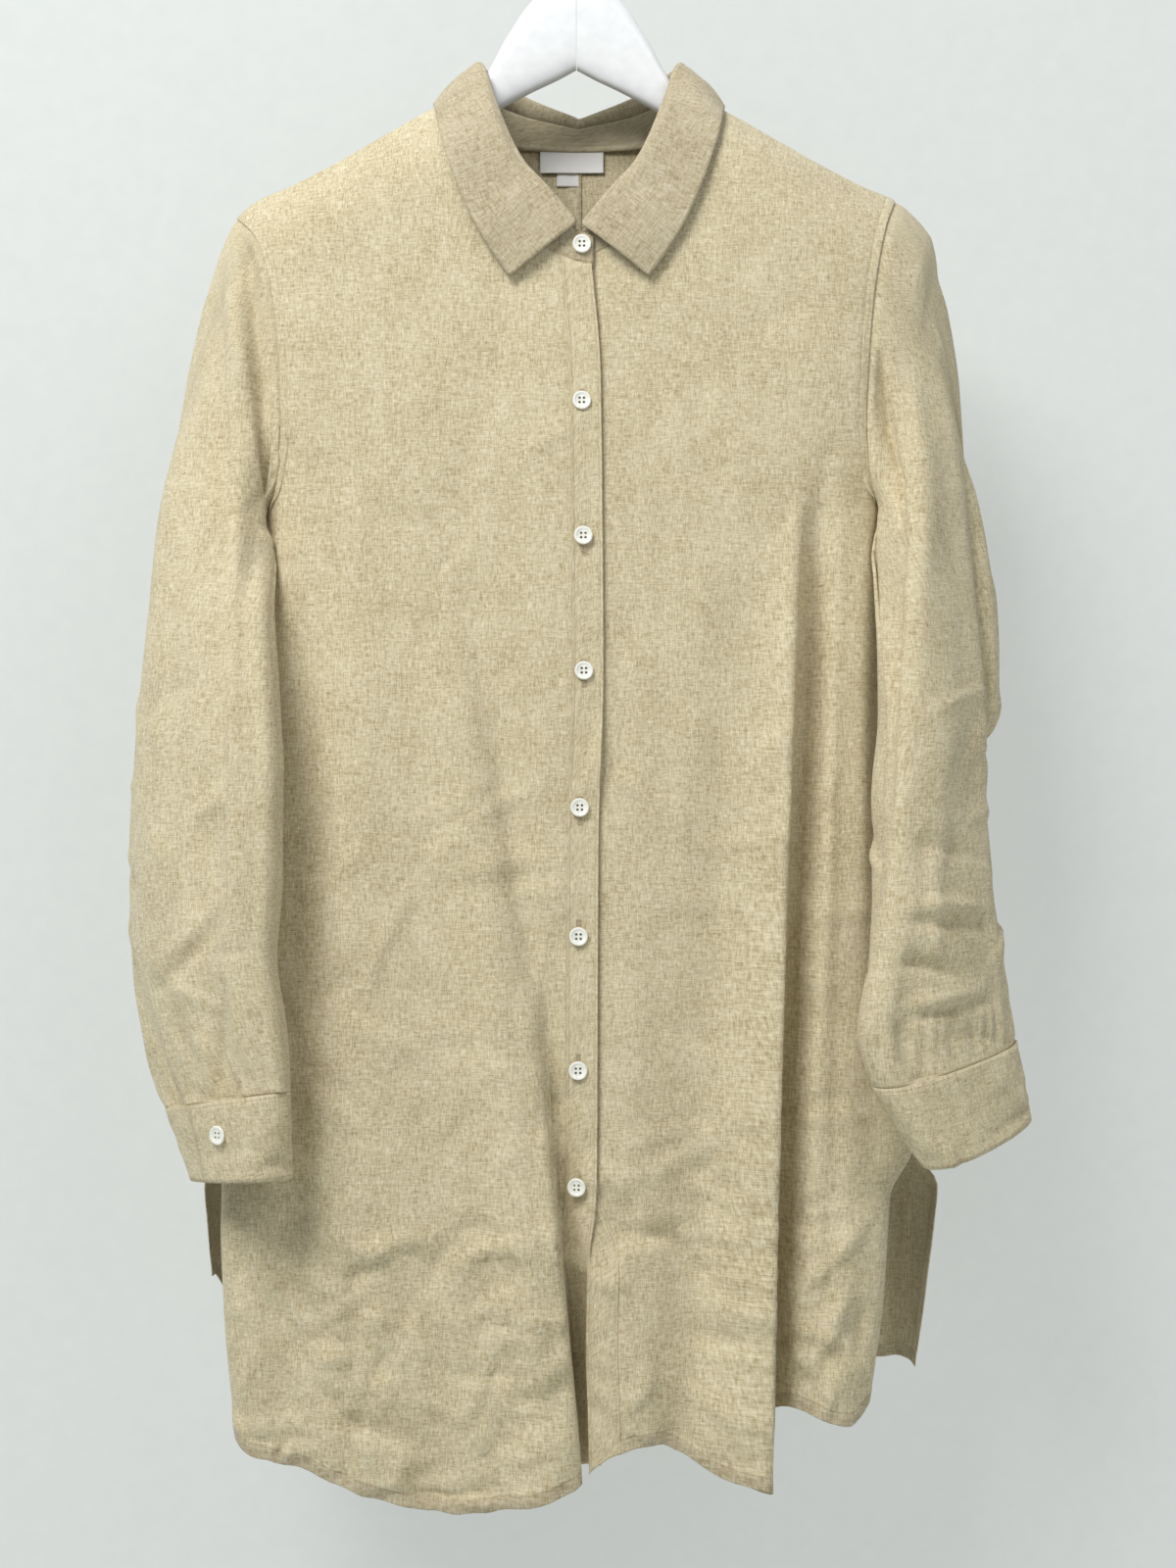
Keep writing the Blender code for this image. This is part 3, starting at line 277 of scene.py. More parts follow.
def offBody(points, side, space):
    x, y, z = np.moveaxis(points, -1, 0)
    hole = armhole[side]
    beside = (z < cut["underarm"][side]) | (np.abs(x) < np.interp(z, hole["height"], hole["across"]))
    width, depth = np.empty_like(x), np.empty_like(x)
    for face, mine in (("front", y <= 0), ("back", y > 0)):
        width[mine] = halfWidth(face, x, z)[mine]
        whole = sideDepth(1.0, z) + read(body, face + "Depth", z) + np.maximum(foldShift(face, x, z)[1], 0)
        depth[mine] = whole[mine]
    n = cut["square"]
    level = (np.abs(x) / (width + space)) ** n + (np.abs(y) / (depth + space)) ** n
    near = beside & (z < cut["restBelow"])
    scale = np.maximum(np.where(near, np.maximum(level, 1e-6) ** (-1 / n), 1.0), 1.0)
    return np.stack([x * scale, y * scale, z], axis=-1)


def toShare(face, x, z, sign):
    return np.arcsin(np.clip(sign * x / halfWidth(face, x, z), -1, 1)) / (math.pi / 2)


def fromShare(face, share, z, sign):
    return sign * halfWidth(face, np.full_like(share, sign), z) * np.sin(share * math.pi / 2)


def armholeAt(side, face, along):
    sign = -1.0 if side == "right" else 1.0
    x = read(armhole[side], "across", along)
    if face == "back":
        x = x + cut["backArmholeOut"] * np.sin(np.pi * along)
    z = read(armhole[side], "height", along)
    return sign * x, np.where(along > .999, read(shoulder, "height", x), z)


def hemLine(face, side, xInner, across):
    sign = -1.0 if side == "right" else 1.0
    line = hem[face + side.capitalize()]
    xSide = line["across"][0 if side == "right" else -1]
    low = read(line, "height", np.array([xSide, xInner]))
    ends = toShare(face, np.array([xSide, xInner]), low, sign)
    x = fromShare(face, ends[0] + (ends[1] - ends[0]) * across, low[0] + (low[1] - low[0]) * across, sign)
    x[-1] = xInner
    return x, read(line, "height", x)


def middleHeights(face, side, xInner, v):
    start = float(read(hem[face + side.capitalize()], "height", xInner(cut["hemLevel"])))
    top = float(read(neck[face], "height", abs(xInner(cut["neckLow"]))))
    return np.interp(v, [0, cut["underarmRow"], cut["neckRow"]], [start, cut["underarm"][side], top])


def panelPlaces(face, side, xInner, columns, rows):
    sign = -1.0 if side == "right" else 1.0
    neckX, arm, low = neck[face]["across"][-1], cut["underarmRow"], cut["neckRow"]

    def edge(x, z, steps):
        return np.stack([toShare(face, x, z, sign), z, steps], axis=-1)

    x, z = hemLine(face, side, xInner(cut["hemLevel"]), columns)
    bottom, corner = edge(x, z, columns), z[0]
    tip = armholeAt(side, face, np.array([1.0]))[0]
    x = tip + (sign * neckX - tip) * columns
    top = edge(x, read(shoulder, "height", np.abs(x)), columns)
    x, z = armholeAt(side, face, np.clip((rows - arm) / (1 - arm), 0, 1))
    z = np.where(rows <= arm, corner + (cut["underarm"][side] - corner) * np.clip(rows / arm, 0, 1), z)
    x = np.where(rows <= arm, sign * halfWidth(face, np.full_like(z, sign), z), x)
    sideEdge = edge(x, z, rows)
    z = middleHeights(face, side, xInner, rows)
    xStart = sign * float(xInner(cut["neckLow"]))
    line = xStart + (neckX - xStart) * np.sin(np.clip((rows - low) / (1 - low), 0, 1) * math.pi / 2)
    x = np.where(rows > low, sign * line, xInner(z))
    z = np.where(rows > low, read(neck[face], "height", np.abs(line)), z)
    middle = edge(x, z, rows)
    u, v = bottom[None, :, 2:], sideEdge[:, None, 2:]
    b, t, s, m = bottom[None, :, :2], top[None, :, :2], sideEdge[:, None, :2], middle[:, None, :2]
    corners = (1 - u) * ((1 - v) * b[:, :1] + v * t[:, :1]) + u * ((1 - v) * b[:, -1:] + v * t[:, -1:])
    return (1 - v) * b + v * t + (1 - u) * s + u * m - corners


def ringPoint(side, down, turn, out=0.0):
    sign = -1.0 if side == "right" else 1.0
    tube = sleeve[side]
    outer, inner = (np.stack([read(tube, edge + axis, down) for axis in "XYZ"], axis=-1) * (sign, 1, 1)
                    for edge in ("out", "in"))
    half, middle = (outer - inner) / 2, (outer + inner) / 2
    flat = unit(half * (1, 1, 0))
    forward = sign * np.stack([flat[..., 1], -flat[..., 0], 0 * flat[..., 0]], axis=-1)
    c, s = np.cos(2 * np.pi * turn), np.sin(2 * np.pi * turn)
    stand = np.where(s > 0, read(tube, "front", down), read(tube, "back", down))
    square = cut["tubeSquare"]
    along, ahead = np.sign(c) * np.abs(c) ** square, np.sign(s) * np.abs(s) ** square * stand
    length = np.linalg.norm(half, axis=-1)
    way = unit(unit(half) * (c / length)[..., None] + forward * (s / stand)[..., None])
    point = middle + half * along[..., None] + forward * ahead[..., None] + way * np.asarray(out)[..., None]
    return point, way


def sleeveFold(side, down, turn):
    out = np.zeros(np.broadcast(down, turn).shape)
    for name, top, low, atTop, atLow, reach, outTop, outLow in sleeveFolds[side]:
        share = np.clip((down - top) / (low - top), 0, 1)
        fade = np.clip(share / .2, 0, 1) * np.clip((low + .25 - down) / .25, 0, 1)
        away = (turn - atTop - (atLow - atTop) * share + .5) % 1 - .5
        out = out + bell(away / reach) * fade * (outTop + (outLow - outTop) * share)
    return out


def armholeLoop(side, turns):
    # its points, the ways off its edge in the panel's own cloth, and the ways out of it
    step, off = .02, .004  # along the edge and off it, to the points that give its directions
    points, ways = [], []
    for turn in turns % 1:
        face, along = ("front", 1 - 2 * turn) if turn <= .5 else ("back", 2 * turn - 1)
        x, z = armholeAt(side, face, np.array([max(along - step, 0), along, min(along + step, 1)]))
        slope = unit(np.array([z[2] - z[0], x[0] - x[2]])) * off
        out = slope if slope[0] * x[1] > 0 else -slope
        here = bodyPoint(face, x[1], z[1])
        if along in (0, 1):
            here[1] = 0.0
        points.append(here)
        ways.append(unit(bodyPoint(face, x[1] + out[0], z[1] + out[1]) - here))
    points, ways = np.array(points), np.array(ways)
    around = np.gradient(np.concatenate([points[-2:], points, points[:2]]), axis=0)[2:-2]
    outwards = unit(np.cross(around, ways))
    middle = points * (.85, 0, 1) - (0, 0, .03)
    outwards *= np.sign((outwards * (points - middle)).sum(axis=-1, keepdims=True))
    return points, ways, outwards


def putIn(name, data):
    thing = bpy.data.objects.new(name, data)
    bpy.context.scene.collection.objects.link(thing)
    return thing


def standFor(piece, node):
    # the dressed piece takes its solid's place
    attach(piece, "root")
    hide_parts(node)


# How a piece of cloth gets its surface
def normals(grid, ring=False):
    along = np.gradient(grid, axis=0)
    if ring:
        wide = np.concatenate([grid[:, -2:], grid, grid[:, :2]], axis=1)
        across = np.gradient(wide, axis=1)[:, 2:-2]
    else:
        across = np.gradient(grid, axis=1)
    return unit(np.cross(along, across))


def cloth(name, grid, places, thick, material, ring=False, swapped=False):
    # places are the threads' own coordinates in metres, across and along the piece
    rows, columns = grid.shape[:2]
    count = columns if ring else columns - 1
    i, j = np.meshgrid(np.arange(rows - 1), np.arange(count), indexing="ij")
    k = (j + 1) % columns
    low, high = i * columns, (i + 1) * columns
    quads = np.stack([low + j, low + k, high + k, high + j], axis=-1)
    if ring:
        places = np.concatenate([places, 2 * places[:, -1:] - places[:, -2:-1]], axis=1)
    uvs = np.stack([places[i, j], places[i, j + 1], places[i + 1, j + 1], places[i + 1, j]], axis=2)
    if swapped:
        quads, uvs = quads[..., ::-1], uvs[:, :, ::-1]
    mesh = bpy.data.meshes.new(name)
    mesh.vertices.add(rows * columns)
    mesh.vertices.foreach_set("co", grid.reshape(-1).astype(np.float32))
    mesh.loops.add(quads.size)
    mesh.loops.foreach_set("vertex_index", quads.reshape(-1).astype(np.int32))
    mesh.polygons.add(quads.size // 4)
    mesh.polygons.foreach_set("loop_start", np.arange(0, quads.size, 4, dtype=np.int32))
    mesh.polygons.foreach_set("loop_total", np.full(quads.size // 4, 4, dtype=np.int32))
    mesh.uv_layers.new(name="threads").data.foreach_set("uv", uvs.reshape(-1).astype(np.float32))
    mesh.update(calc_edges=True)
    mesh.shade_smooth()
    piece = putIn(name, mesh)
    mesh.materials.append(material)
    wall = piece.modifiers.new("thickness", "SOLIDIFY")
    wall.thickness, wall.offset = thick, 0.0
    return piece


def distances(grid):
    # metres across and along a grid of points, for its threads
    across = np.cumsum(np.linalg.norm(np.diff(grid, axis=1, prepend=grid[:, :1]), axis=-1), axis=1)
    along = np.cumsum(np.linalg.norm(np.diff(grid, axis=0, prepend=grid[:1]), axis=-1), axis=0)
    return np.stack([across, along], axis=-1)


def crease(x, z, start, end, width, depth, bow=0.0, skew=0.0):
    # a soft trough (or a ridge, where depth is above 0) from start to end, steeper on one side by skew
    way = np.subtract(end, start)
    length = math.hypot(*way)
    t = ((x - start[0]) * way[0] + (z - start[1]) * way[1]) / length**2
    off = (-(x - start[0]) * way[1] + (z - start[1]) * way[0]) / length - bow * 4 * t * (1 - t)
    reach = width * (1 + skew * np.tanh(off / width))
    fade = np.where((t > 0) & (t < 1), np.sin(np.pi * np.clip(t, 0, 1)) ** .7, 0)
    return depth * np.exp(-(off / reach) ** 2) * fade


def ripples(x, z, size, height, seed):
    # slow uneven waves of the whole cloth
    flat = zip(x.ravel().tolist(), z.ravel().tolist())
    values = [noise.noise((a / size, b / size * .7, seed)) for a, b in flat]
    return height * np.reshape(values, x.shape)


def crumples(x, z, area, count, seed, length=(.022, .085), width=(.0028, .0070), depth=.0011):
    # many short creases over part of a panel, as linen gets from being folded and worn
    rng = np.random.default_rng(seed)
    out = np.zeros_like(x)
    for _ in range(count):
        cx, cz = rng.uniform(area[0], area[2]), rng.uniform(area[1], area[3])
        turn, size = rng.uniform(0, math.pi), rng.uniform(*length) / 2
        way = np.array([math.cos(turn), math.sin(turn)]) * size
        deep = depth * rng.uniform(.35, 1) * rng.choice([-1, 1])
        out += crease(x, z, (cx - way[0], cz - way[1]), (cx + way[0], cz + way[1]), rng.uniform(*width), deep,
                      bow=rng.uniform(-.2, .2) * size, skew=rng.uniform(-.5, .5))
    return out


def stitchRow(points, ways, pitch, length, thick, sideways=False):
    # short threads lying along a line on the cloth, half sunk into it
    points, ways = np.asarray(points), np.asarray(ways)
    steps = np.concatenate([[0], np.cumsum(np.linalg.norm(np.diff(points, axis=0), axis=1))])
    at = np.arange(pitch / 2, steps[-1] - pitch / 4, pitch)
    here = np.stack([np.interp(at, steps, points[:, k]) for k in range(3)], axis=-1)
    near = np.stack([np.interp(at + pitch * .2, steps, points[:, k]) for k in range(3)], axis=-1)
    up = unit(np.stack([np.interp(at, steps, ways[:, k]) for k in range(3)], axis=-1))
    run = unit(near - here)
    side = unit(np.cross(up, run))
    if sideways:
        run, side = side, run
    return [(h, r * length / 2, s * thick / 2, u * thick / 2) for h, r, s, u in zip(here, run, side, up)]


def sewn(name, threads, material):
    # one mesh of rounded threads
    shape = ((-1, 0, -.6), (-.7, 0, .55), (-.7, .8, -.1), (-.7, -.8, -.1), (.7, 0, .55), (.7, .8, -.1),
             (.7, -.8, -.1), (1, 0, -.6))
    corners = ((0, 2, 1), (0, 1, 3), (1, 2, 5, 4), (3, 1, 4, 6), (4, 5, 7), (6, 4, 7), (2, 0, 3), (5, 6, 7),
               (2, 3, 6, 5))
    verts, faces = [], []
    for n, (here, run, side, up) in enumerate(threads):
        verts += [tuple(here + run * a + side * b + up * c) for a, b, c in shape]
        faces += [tuple(v + 8 * n for v in face) for face in corners]
    mesh = bpy.data.meshes.new(name)
    mesh.from_pydata(verts, [], faces)
    mesh.materials.append(material)
    mesh.shade_smooth()
    piece = putIn(name, mesh)
    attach(piece, "root")


def groove(depth, distance, place, reach):
    # how far cloth is sunk along a line of stitches, or drawn up beside one
    return depth * np.exp(-((distance - place) / reach) ** 2)


# Materials
def newMaterial(name, color, roughness):
    material = bpy.data.materials.new(name)
    material.use_nodes = True
    shader = material.node_tree.nodes["Principled BSDF"]
    shader.inputs["Base Color"].default_value = (*color, 1)
    shader.inputs["Roughness"].default_value = roughness
    return material, shader, material.node_tree.nodes, material.node_tree.links


def noiseNode(nodes, links, vector, stretch, scale, detail=2.0, rough=.5):
    spread = nodes.new("ShaderNodeVectorMath")
    spread.operation = "MULTIPLY"
    spread.inputs[1].default_value = stretch
    links.new(vector, spread.inputs[0])
    speckle = nodes.new("ShaderNodeTexNoise")
    speckle.inputs["Scale"].default_value = scale
    speckle.inputs["Detail"].default_value = detail
    speckle.inputs["Roughness"].default_value = rough
    links.new(spread.outputs[0], speckle.inputs["Vector"])
    return speckle.outputs["Fac"]


def sums(nodes, links, operation, a, b):
    node = nodes.new("ShaderNodeMath")
    node.operation = operation
    for value, socket in ((a, node.inputs[0]), (b, node.inputs[1])):
        if isinstance(value, (int, float)):
            socket.default_value = value
        else:
            links.new(value, socket)
    return node.outputs[0]


def bumped(shader, nodes, links, height, distance, strength=1.0):
    bump = nodes.new("ShaderNodeBump")
    bump.inputs["Distance"].default_value = distance
    bump.inputs["Strength"].default_value = strength
    links.new(height, bump.inputs["Height"])
    links.new(bump.outputs[0], shader.inputs["Normal"])


def ramp(nodes, links, value, stops):
    node = nodes.new("ShaderNodeValToRGB")
    colors = node.color_ramp.elements
    while len(colors) < len(stops):
        colors.new(.5)
    for element, (at, color) in zip(colors, stops):
        element.position, element.color = at, (*color, 1)
    links.new(value, node.inputs[0])
    return node.outputs[0]


def clouded(shader, nodes, links, stretch, scale, detail, stops):
    # a finish whose colour drifts a little over the piece
    place = nodes.new("ShaderNodeTexCoord").outputs["Object"]
    cloud = noiseNode(nodes, links, place, stretch, scale, detail)
    links.new(ramp(nodes, links, cloud, stops), shader.inputs["Base Color"])
    return cloud


linenLook = {
    "dark": (.415, .325, .172), "middle": (.655, .565, .362), "light": (.840, .765, .560),
    "tones": (.41, .50, .59),  # where the mixed yarns turn dark, middle and light
    "threads": 1500, "weave": .22, "bump": .00096, "bumpStrength": .6,
    "roughness": .86, "sheen": .20, "sheenRoughness": .6, "specular": .25,
    # per metre across and along, detail, share
    "yarns": ((1500, 170, 2, .26), (170, 1500, 2, .22), (480, 450, 3, .18), (600, 60, 2, .12),
              (60, 600, 2, .10), (28, 26, 2, .08), (95, 9, 2, .04)),
    "doubledShadeTint": (.800, .790, .805),  # painted shade: a darker tint for turned and doubled cloth (collar, hem and vent strips), standing for their shading and the less light that comes through
}


def linenMaterial(name, tint=(1, 1, 1)):
    look = linenLook
    dark, middle, light = (tuple(a * b for a, b in zip(look[depth], tint))
                           for depth in ("dark", "middle", "light"))
    material, shader, nodes, links = newMaterial(name, middle, look["roughness"])
    threads = nodes.new("ShaderNodeUVMap")
    threads.uv_map = "threads"
    place = threads.outputs[0]
    # long and short slubs both ways, the mixed tones of the yarn, and slow clouds
    tone, rough = 0.0, .6
    for across, along, detail, share in look["yarns"]:
        layer = noiseNode(nodes, links, place, (across, along, 1), 1, detail, rough)
        tone = sums(nodes, links, "ADD", sums(nodes, links, "MULTIPLY", layer, share), tone)
    color = ramp(nodes, links, tone, tuple(zip(look["tones"], (dark, middle, light))))
    links.new(color, shader.inputs["Base Color"])
    shader.inputs["Sheen Weight"].default_value = look["sheen"]
    shader.inputs["Sheen Roughness"].default_value = look["sheenRoughness"]
    shader.inputs["Specular IOR Level"].default_value = look["specular"]
    split = nodes.new("ShaderNodeSeparateXYZ")
    links.new(place, split.inputs[0])
    weave = []
    for axis in (0, 1):
        phase = sums(nodes, links, "MULTIPLY", split.outputs[axis], look["threads"] * math.pi)
        weave.append(sums(nodes, links, "ABSOLUTE", sums(nodes, links, "SINE", phase, 0), 0))
    height = sums(nodes, links, "MULTIPLY", sums(nodes, links, "ADD", *weave), look["weave"])
    bumped(shader, nodes, links, sums(nodes, links, "ADD", height, tone), look["bump"], look["bumpStrength"])
    return material


linen = linenMaterial("linen")
# linen darkened by that tint: painted shade for the collar and the turned strips
linenDoubledPaintedShade = linenMaterial("linen_doubled_painted_shade", linenLook["doubledShadeTint"])


# Fronts and backs
frontLook = {
    "columns": ((0, .05, 14), (.05, 1, 74)),
    "rows": ((0, .014, 15), (.014, .10, 24), (.10, .20, 24), (.20, .62, 90), (.62, .80, 36), (.80, .94, 24),
             (.94, 1, 12)),
    "waves": ((.085, .0016, 3.1), (.034, .0007, 7.7), (.013, .00028, 1.3)),
    # start, end, width, depth, bow, skew
    "creases": (
        ((-.1640, -.4665), (-.1405, -.4560), .0013, -.0010, 0, 0),
        ((.1375, -.4330), (.1680, -.4480), .0013, -.0010, 0, 0),
        ((-.0700, -.4200), (-.0290, -.6900), .0090, -.0035, .004, .3),
        ((-.0560, -.5200), (-.0130, -.9400), .0080, .0030, .006, .3),
        ((-.0195, -.6700), (.0042, -1.0400), .0060, -.0120, 0, .8),
        ((-.0270, -.6700), (-.0030, -1.0400), .0090, .0070, 0, .3),
        ((-.1930, -.2245), (-.0860, -.1630), .0016, -.0008, 0, 0),
        ((.1950, -.2190), (.0860, -.1610), .0016, -.0008, 0, 0),
        ((-.1500, -.3000), (-.1650, -.5200), .0130, -.0020, .003, 0),
        ((-.1300, -.6500), (-.1450, -.9300), .0150, -.0022, -.006, 0),
        ((-.0420, -.2600), (-.0900, -.4300), .0120, -.0014, .004, 0),
        ((.0600, -.2600), (.1050, -.4200), .0120, -.0014, -.004, 0),
        ((.0500, -.5800), (.0330, -.9000), .0120, -.0022, .004, 0),
        ((.0980, -.4700), (.0860, -.7800), .0075, .0018, .003, .4),
        ((.1500, -.4200), (.1440, -.6400), .0070, -.0022, 0, 0),
        ((.1640, -.4400), (.1500, -.9400), .0070, -.0040, .002, .3),
        ((.1760, -.3900), (.1760, -.7400), .0060, .0030, 0, 0),
        ((-.1700, -.8350), (-.1000, -.8800), .0060, -.0018, .006, .4),
        ((-.1500, -.8900), (-.0900, -.9350), .0050, .0017, -.005, .3),
        ((-.1850, -.9100), (-.1500, -.8500), .0060, .0016, .004, 0),
        ((-.1150, -.8300), (-.0600, -.8650), .0050, -.0015, .004, 0),
        ((-.0900, -.9000), (-.0500, -.9500), .0045, -.0016, 0, .3),
        ((.0700, -.7550), (.1000, -.7620), .0040, -.0012, 0, 0),
        ((.0750, -.8800), (.1000, -.9250), .0050, -.0014, 0, 0),
    ),
    # area, how many, seed, depth
    "crumples": (
        ((-.210, -.985, -.015, -.815), 84, 11, .0040), ((-.205, -.815, -.010, -.560), 46, 12, .0024),
        ((.015, -.960, .175, -.780), 60, 13, .0036), ((.010, -.780, .175, -.520), 42, 14, .0021),
        ((-.190, -.560, .180, -.240), 44, 15, .0011),
    ),
}
backLook = {
    "columns": ((0, .05, 10), (.05, 1, 54)),
    "rows": ((0, .014, 12), (.014, .62, 92), (.62, .80, 24), (.80, .94, 18), (.94, 1, 12)),
    "waves": ((.090, .0018, 9.3), (.036, .0008, 4.9), (.014, .0003, 2.2)),
    "creases": (
        ((-.1200, -.3000), (-.1500, -.5200), .0120, -.0022, .004, 0),
        ((.1250, -.3000), (.1500, -.5400), .0120, -.0022, -.004, 0),
        ((-.0500, -.6500), (-.0700, -.9300), .0110, -.0024, .004, 0),
        ((.0450, -.6200), (.0600, -.9300), .0110, -.0024, -.004, 0),
        ((-.1500, -.7800), (-.0900, -.8300), .0060, -.0016, .005, .3),
        ((.0900, -.8000), (.1500, -.8400), .0060, .0015, -.005, .3),
        ((.0400, -.8800), (.0900, -.9200), .0050, -.0015, .003, 0),
        ((-.1000, -.8800), (-.0500, -.9100), .0050, -.0015, .003, 0),
        ((.2000, -.7600), (.1960, -.9300), .0040, -.0040, .001, .3),
        ((.2080, -.7500), (.2050, -.9200), .0035, .0030, .001, 0),
        ((.2150, -.7800), (.2110, -.9100), .0030, -.0022, 0, 0),
    ),
    "crumples": (((-.200, -.940, .190, -.740), 110, 21, .0024), ((-.190, -.740, .185, -.300), 90, 22, .0014)),
}
# the finer creases among the crumples: how many to each, seeds further on, length, width, share of the depth
fineLook = {"each": 2, "seeds": 50, "length": (.010, .034), "width": (.0015, .0030), "depth": .30}
# Turned, sewn and gathered edges of the fronts and backs, in metres
edgeLook = {
    "hemWave": (.011, .0011, 4.4),  # size, height, seed
    "hemTurn": .0092, "hemDoubled": .0086, "ventDoubled": .0090, "raise": .0008,
    # depth, place from the edge, reach
    "hemGroove": (.0009, .0078, .0010), "ventGroove": (.0009, .0085, .0010),
    "armholeGroove": (.0004, .0055, .0010),
    "shoulderDip": (.0005, 160),  # depth and sharpness
    # depth, pitch, place from the edge and reach
    "hemGathers": (.0010, .0135, .006, .006), "ventGathers": (.0008, .015, .006, .006),
    "gatherDrift": (1.4, 210),  # how unevenly they come, and how often that changes
    "tuck": .0030, "tucked": .0012,  # what runs beneath the piece sewn over it, and how much lower it lies
}


def reliefOf(look, x, z):
    out = sum(ripples(x, z, size, height, seed) for size, height, seed in look["waves"])
    for start, end, width, depth, bow, skew in look["creases"]:
        out += crease(x, z, start, end, width, depth, bow, skew)
    for area, count, seed, depth in look["crumples"]:
        out += crumples(x, z, area, count, seed, depth=depth)
        out += crumples(x, z, area, fineLook["each"] * count, seed + fineLook["seeds"], fineLook["length"],
                        fineLook["width"], depth * fineLook["depth"])
    return out


def overEdge(z):
    return read(lap, "overEdge", z)


def overSeam(z):
    return overEdge(z) - cut["placket"]


def underEdge(z):
    return read(lap, "underEdge", z)


def underSeam(z):
    return underEdge(z) + cut["placket"]


def threadPlaces(face, x, z):
    # how far round from the middle, and how far along from the shoulder's top
    width = halfWidth(face, x, z)
    share = np.linspace(0, 1, 300)
    depth = cut["girthDepth"] * np.diff((1 - share**4) ** .25, prepend=1)
    girth = np.cumsum(np.hypot(np.diff(share, prepend=0), depth))
    around = np.sign(x) * width * np.interp(np.abs(x) / width, share, girth)
    drop = np.clip((read(shoulder, "height", np.abs(x)) - z) / cut["ridgeDrop"], 0, 1)
    return np.stack([around, z + cut["ridgeGirth"] * (1 - drop) ** 2.5], axis=-1)


def panel(name, face, side, look, inner, place, swapped, under=0.0):
    # under is how far the inner edge runs beneath what is sewn over it
    edges = edgeLook
    columns, rows = runs(*look["columns"]), runs(*look["rows"])
    spots = panelPlaces(face, side, inner, columns, rows)
    sign = -1.0 if side == "right" else 1.0
    x, z = fromShare(face, spots[..., 0], spots[..., 1], sign), spots[..., 1]
    u, v = columns[None, :], rows[:, None]
    z = z + ripples(x, 0 * z, *edges["hemWave"]) * smooth(v, .05, 0)
    # seams stay flat: the side, the armhole and the shoulder, and the neck where the collar lies
    calm = smooth(u, 0, .05) * smooth(1 - v, 0, .035) * (1 - smooth(v, .78, .86) * smooth(u, .55, .8))
    grid = place(x, z)
    way = place(x, z, .001) - grid
    edge, rise = distances(grid)[..., 0], z - z[:1]  # from the side's edge, and above the hem
    vent = smooth(cut["ventTop"] - z, -.004, .004)
    depth, sharp = edges["shoulderDip"]
    dip = -depth * np.exp(-((1 - v) * sharp) ** 2)
    dip = dip - groove(edges["armholeGroove"][0], edge, *edges["armholeGroove"][1:]) * smooth(v, .615, .63)
    turned = edges["raise"] * smooth(edges["hemTurn"] - rise, -.0006, .0006)
    turned = turned - groove(edges["hemGroove"][0], rise, *edges["hemGroove"][1:])
    turned = turned - groove(edges["ventGroove"][0], edge, *edges["ventGroove"][1:]) * vent
    depth, pitch, at, reach = edges["hemGathers"]
    drift, often = edges["gatherDrift"]
    pull = depth * np.sin(x * 2 * np.pi / pitch + drift * np.sin(x * often)) * groove(1, rise, at, reach)
    depth, pitch, at, reach = edges["ventGathers"]
    turned = turned + pull + depth * np.sin(z * 2 * np.pi / pitch) * groove(1, edge, at, reach) * vent
    if under:
        turned = turned - edges["tucked"] * smooth(sign * (inner(z) - x), -.0004 - under, .0008 - under)
    grid = grid + unit(way) * (reliefOf(look, x, z) * calm + dip + turned)[..., None]
    piece = cloth("linen_" + name, grid, threadPlaces(face, x, z), cut["cloth"], linen, swapped=swapped)
    piece.data.materials.append(linenDoubledPaintedShade)
    # the turned hem and vent strips take the linen with painted shade
    foldedPaintedShade = (rise < edges["hemDoubled"]) | ((edge < edges["ventDoubled"]) & (vent > .5))
    foldedPaintedShade = foldedPaintedShade[1:, 1:] & foldedPaintedShade[:-1, :-1]
    piece.data.polygons.foreach_set("material_index", foldedPaintedShade.astype(np.int32).ravel())
    return piece, grid, unit(way)


def finishPiece(piece, node):
    standFor(piece, node)


panels = {}
gap, tuck = cut["seam"] / 2, edgeLook["tuck"]
for side, layer, inner, swapped in (
    ("right", "over", lambda z: overSeam(z) + tuck, False),
    ("left", "under", lambda z: underSeam(z) - tuck, True),
):
    piece, grid, way = panel("front_" + side, "front", side, frontLook, inner,
                             lambda x, z, out=0.0: lapPoint(x, z, layer, out), swapped, tuck)
    panels["front", side] = grid, way
    finishPiece(piece, "front_" + side)
print("fronts are in")

for side, under, start in (("right", tuck, tuck), ("left", 0, gap)):
    piece, grid, way = panel("back_" + side, "back", side, backLook, lambda z: start + 0.0 * z,
                             lambda x, z, out=0.0: bodyPoint("back", x, z, out), side == "right", under)
    panels["back", side] = grid, way
    finishPiece(piece, "back_" + side)
print("backs are in")

# Front bands
bandLook = {
    "columns": ((0, .14, 6), (.14, .86, 8), (.86, 1, 6)), "raise": .0003, "stitchIn": .0018,
    "groove": (.00035, .0007), "pucker": (.00025, .011, 9),  # depth and reach, height, pitch and sharpness
    "topSlope": .15,  # how the top runs on past the middle
    "edgeLift": .0007, "gape": (.0030, -.530, .040),  # how far the loose edge stands, where, and its reach
}


